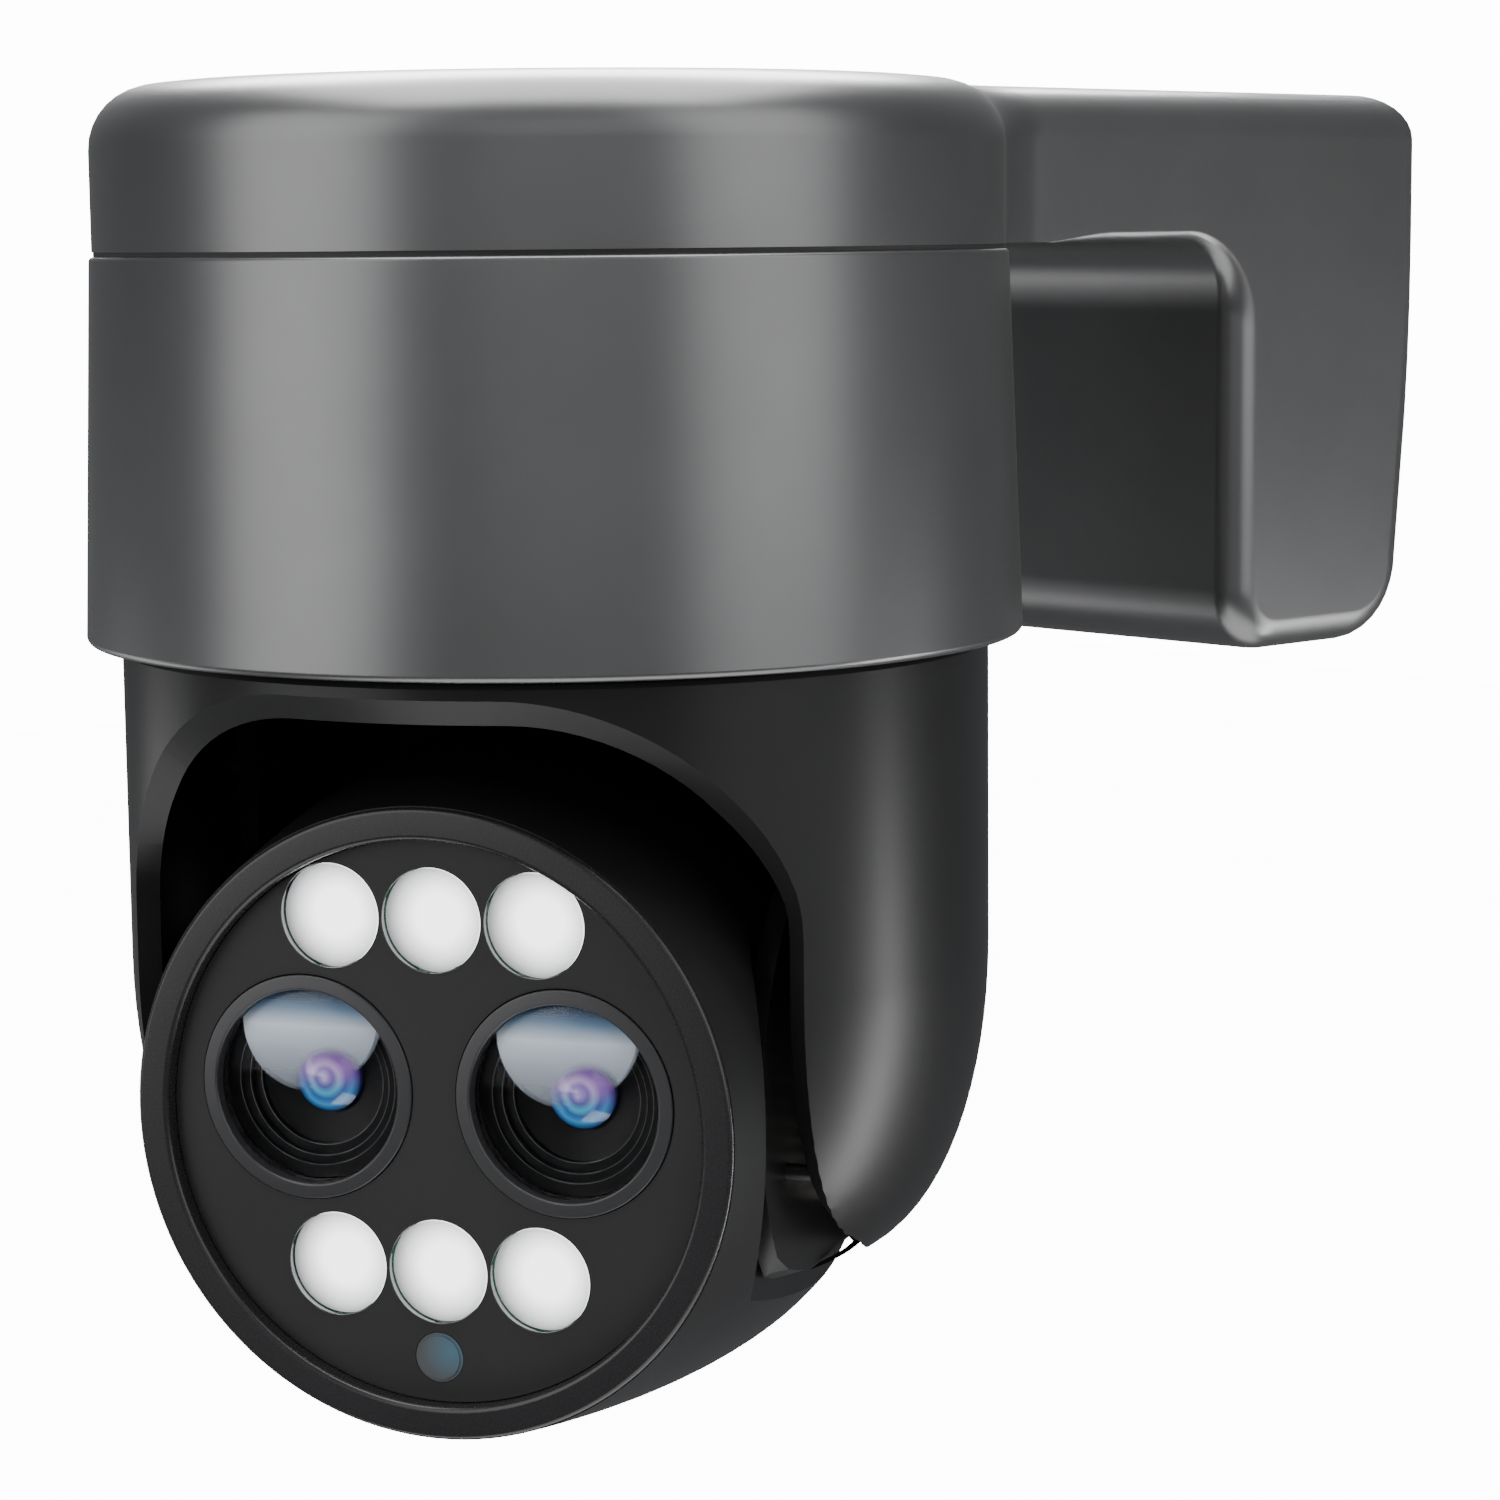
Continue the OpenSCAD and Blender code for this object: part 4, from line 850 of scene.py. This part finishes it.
def coated_glass_with_painted_reflections(centre):
    """The coated front element: rings of violet, blue and cyan painted as the reflections in its coatings,
    painted lighter and pinker towards the top, with a faint painted glow.
    """
    material = bpy.data.materials.new("coated lens glass with painted reflections")
    material.use_nodes = True
    tree = material.node_tree
    shader = tree.nodes["Principled BSDF"]
    shader.inputs["Roughness"].default_value = 0.12
    shader.inputs["Coat Weight"].default_value = 1.0
    shader.inputs["Coat Roughness"].default_value = 0.02
    across, up = face_axes(tree, centre, core_radius)
    radius = flat_reach(tree, across, up)
    upper_reflection_rings = ramp(tree, ((0.0, (0.62, 0.42, 0.85)), (0.28, (0.30, 0.16, 0.62)), (0.42, (0.72, 0.46, 0.92)),
                        (0.62, (0.35, 0.13, 0.62)), (0.85, (0.22, 0.05, 0.42)), (1.0, (0.03, 0.01, 0.10))),
                 radius)
    lower_reflection_rings = ramp(tree, ((0.0, (0.30, 0.32, 0.75)), (0.25, (0.04, 0.08, 0.32)), (0.45, (0.06, 0.42, 0.66)),
                        (0.62, (0.03, 0.10, 0.36)), (0.80, (0.05, 0.30, 0.62)), (1.0, (0.01, 0.02, 0.12))),
                 radius)
    blend = tree.nodes.new("ShaderNodeMix")
    blend.data_type = "RGBA"
    tree.links.new(step_between(tree, -0.45, 0.35, up), blend.inputs["Factor"])
    tree.links.new(lower_reflection_rings, blend.inputs[6])
    tree.links.new(upper_reflection_rings, blend.inputs[7])
    tree.links.new(blend.outputs[2], shader.inputs["Base Color"])
    # The painted reflection colours also feed a faint emission, a painted glow, though the element is no lamp
    tree.links.new(blend.outputs[2], shader.inputs["Emission Color"])
    shader.inputs["Emission Strength"].default_value = 0.35
    return material


def window_glass_with_painted_reflection(centre):
    """Clear domed glass whose upper half carries a painted pale blue reflection of a soft light, ending in a
    curved edge.
    """
    material = bpy.data.materials.new("lens window glass with painted reflection")
    material.use_nodes = True
    tree = material.node_tree
    clear = tree.nodes["Principled BSDF"]
    clear.inputs["Base Color"].default_value = (1, 1, 1, 1)
    clear.inputs["Transmission Weight"].default_value = 1.0
    clear.inputs["Roughness"].default_value = 0.0
    clear.inputs["IOR"].default_value = 1.1
    painted_reflection = tree.nodes.new("ShaderNodeBsdfPrincipled")
    painted_reflection.inputs["Roughness"].default_value = 0.25
    across, up = face_axes(tree, centre, window_radius)
    # Painted reflection: a pale blue band over the upper half with a curved lower edge, weakened where the
    # core is seen through it
    reflection_centre, reflection_radius = (0, 0.72, 0), 0.76
    core_seen_at, core_start, core_end = (0.26, 0.04, 0), 0.28, 0.42
    from_sheen = flat_reach(tree, across, up, reflection_centre)
    from_core = flat_reach(tree, across, up, core_seen_at)
    edge = step_between(tree, reflection_radius, reflection_radius - 0.02, from_sheen)
    off_core = step_between(tree, core_start, core_end, from_core, from_share=0.1)
    reflection_strength = ramp(tree, ((0.0, (0.32,) * 3), (0.35, (0.62,) * 3), (0.62, (0.9,) * 3), (0.80, (0.75,) * 3),
                           (0.97, (0.5,) * 3)), up)
    reflection_tone = ramp(tree, ((0.0, (0.30, 0.34, 0.40)), (0.35, (0.42, 0.48, 0.56)), (0.62, (0.60, 0.68, 0.76)),
                       (0.80, (0.16, 0.27, 0.42)), (0.97, (0.03, 0.06, 0.12))), up)
    tree.links.new(reflection_tone, painted_reflection.inputs["Base Color"])
    mix = tree.nodes.new("ShaderNodeMixShader")
    tree.links.new(product(tree, product(tree, edge, off_core), reflection_strength), mix.inputs["Fac"])
    tree.links.new(clear.outputs[0], mix.inputs[1])
    tree.links.new(painted_reflection.outputs[0], mix.inputs[2])
    tree.links.new(mix.outputs[0], tree.nodes["Material Output"].inputs["Surface"])
    return material


ring_profile = [(window_radius, face_depth - 0.006), (window_radius + 0.0008, face_depth - 0.006),
                (window_radius + 0.0008, face_depth - face_thick), (ring_radius, face_depth - face_thick)]
ring_profile += arc((ring_radius - 0.0002, face_depth + 0.0001), 0.0002, 0, 90, 4)
ring_profile += arc((window_radius + 0.0003, face_depth + 0.0001), 0.0003, 90, 180, 4)
barrel_steps = ((0.01035, -0.0030), (0.0093, -0.0036), (0.00815, -0.0044))
step_1, step_2, step_3 = barrel_steps
barrel_profile = [(core_radius + 0.0025, -0.026), (core_radius + 0.005, -0.026),
                  (core_radius + 0.005, -0.008), (window_radius - 0.0001, -0.008),
                  (window_radius - 0.0001, step_1[1]), step_1,
                  (step_1[0], step_2[1]), step_2, (step_2[0], step_3[1]), step_3, (step_3[0], -0.0054),
                  (core_radius + 0.001, -0.0064), (core_radius, -0.0068), (core_radius, -0.022),
                  (core_radius + 0.0025, -0.022)]
for side, centre in zip(("left", "right"), lens_centres):
    at_lens = head_place @ Matrix.Translation((centre[0], centre[1], 0))
    ring = spun("lens_rim_" + side, ring_profile, steps=96, closed=True)
    put(ring, at_lens)
    smooth(ring, 40)
    paint(ring, ring_metal)
    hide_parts("lens_ring_" + side)
    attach(ring, "head")
    barrel = spun("lens_tube_" + side, [(r, face_depth + z) for r, z in barrel_profile], steps=96,
                  closed=True)
    put(barrel, at_lens)
    smooth(barrel, 30)
    paint(barrel, barrel_black)
    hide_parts("lens_barrel_" + side)
    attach(barrel, "head")
    # A thin ring of lighter metal on each step's edge is a painted highlight of that edge
    for number, (radius, depth) in enumerate(barrel_steps):
        bpy.ops.object.select_all(action="DESELECT")
        bpy.ops.mesh.primitive_torus_add(major_radius=radius, minor_radius=0.00006, major_segments=96,
                                         minor_segments=6, location=(0, 0, face_depth + depth))
        bpy.ops.object.transform_apply(location=True, rotation=True, scale=True)
        glint = bpy.context.object
        glint.name = "tube_step_%s_%d" % (side, number + 1)
        put(glint, at_lens)
        smooth(glint, 60)
        paint(glint, step_highlight_metal)
        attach(glint, "head")
    paint("lens_core_" + side, coated_glass_with_painted_reflections(centre))
    paint("lens_window_" + side, window_glass_with_painted_reflection(centre))

# ---- Lamps and light sensor ----
# Six white lamps shine through clear domed lenses, each over a white diffuser dish that hides a
# yellow phosphor chip. Below them a smoked window covers the light sensor.
lamp_clear = bpy.data.materials.new("clear lamp acrylic")
lamp_clear.use_nodes = True
clear_shader = lamp_clear.node_tree.nodes["Principled BSDF"]
clear_shader.inputs["Base Color"].default_value = (0.97, 0.98, 1, 1)
clear_shader.inputs["Transmission Weight"].default_value = 1.0
clear_shader.inputs["Roughness"].default_value = 0.03
clear_shader.inputs["IOR"].default_value = 1.3
lamp_glow = surface("lit lamp reflector", (0.95, 0.95, 0.95), 0.4, grain=900, depth=0.00001, patches=0.04)
glow_shader = lamp_glow.node_tree.nodes["Principled BSDF"]
glow_shader.inputs["Emission Strength"].default_value = 3.4
glow_reach = lamp_glow.node_tree.nodes.new("ShaderNodeAttribute")
glow_reach.attribute_name = "reach"
glow_fade = ramp(lamp_glow.node_tree, ((0.40, (1, 0.99, 0.97)), (0.70, (0.42,) * 3), (0.86, (0.14,) * 3),
                                       (1.0, (0.04,) * 3)), glow_reach.outputs["Fac"])
lamp_glow.node_tree.links.new(glow_fade, glow_shader.inputs["Emission Color"])
lamp_phosphor = surface("lamp phosphor", (0.95, 0.85, 0.5), 0.6, grain=900, depth=0.00001, patches=0.04)
phosphor_shader = lamp_phosphor.node_tree.nodes["Principled BSDF"]
phosphor_shader.inputs["Emission Color"].default_value = (1, 0.95, 0.8, 1)
phosphor_shader.inputs["Emission Strength"].default_value = 4
paint("lamp_lenses", lamp_clear)
paint("lamp_chips", lamp_phosphor)
cup_floor = face_depth - face_thick - 0.0016
cup_profile = [(radius, cup_floor + lift) for radius, lift in (
    (0, 0), (0.0061, 0), (0.0062, 0.0006), (0.0058, 0.0007), (0.0054, 0.00055), (0.0050, 0.0004),
    (0.0044, 0.00035), (0.0038, 0.0003), (0.0030, 0.0005), (0, 0.0005))]
for number, centre in enumerate(lamp_centres):
    cup = spun("lamp_cup_%d" % (number + 1), cup_profile, steps=48)
    reach = cup.data.attributes.new("reach", "FLOAT", "POINT")
    for vertex in cup.data.vertices:
        reach.data[vertex.index].value = vertex.co.xy.length / lamp_radius
    put(cup, head_place @ Matrix.Translation((centre[0], centre[1], 0)))
    smooth(cup, 60)
    paint(cup, lamp_glow)
    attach(cup, "head")

sensor_window = surface("smoked sensor window", (0.07, 0.075, 0.08), 0.22, grain=3000, depth=0.000002,
                        coat=0.5)
sensor_tree = sensor_window.node_tree
sensor_spot = sensor_tree.nodes.new("ShaderNodeVectorMath")
sensor_spot.operation = "LENGTH"
sensor_tree.links.new(face_place(sensor_tree, (eye_centre[0] + 0.0016, eye_centre[1] + 0.0009, face_depth)),
                      sensor_spot.inputs[0])
sensor_tint = ramp(sensor_tree, ((0.0026, (0.065, 0.14, 0.19)), (0.0028, (0.075, 0.078, 0.082))),
                   sensor_spot.outputs["Value"])
sensor_tree.links.new(sensor_tint, sensor_tree.nodes["Principled BSDF"].inputs["Base Color"])
paint("light_sensor", sensor_window)
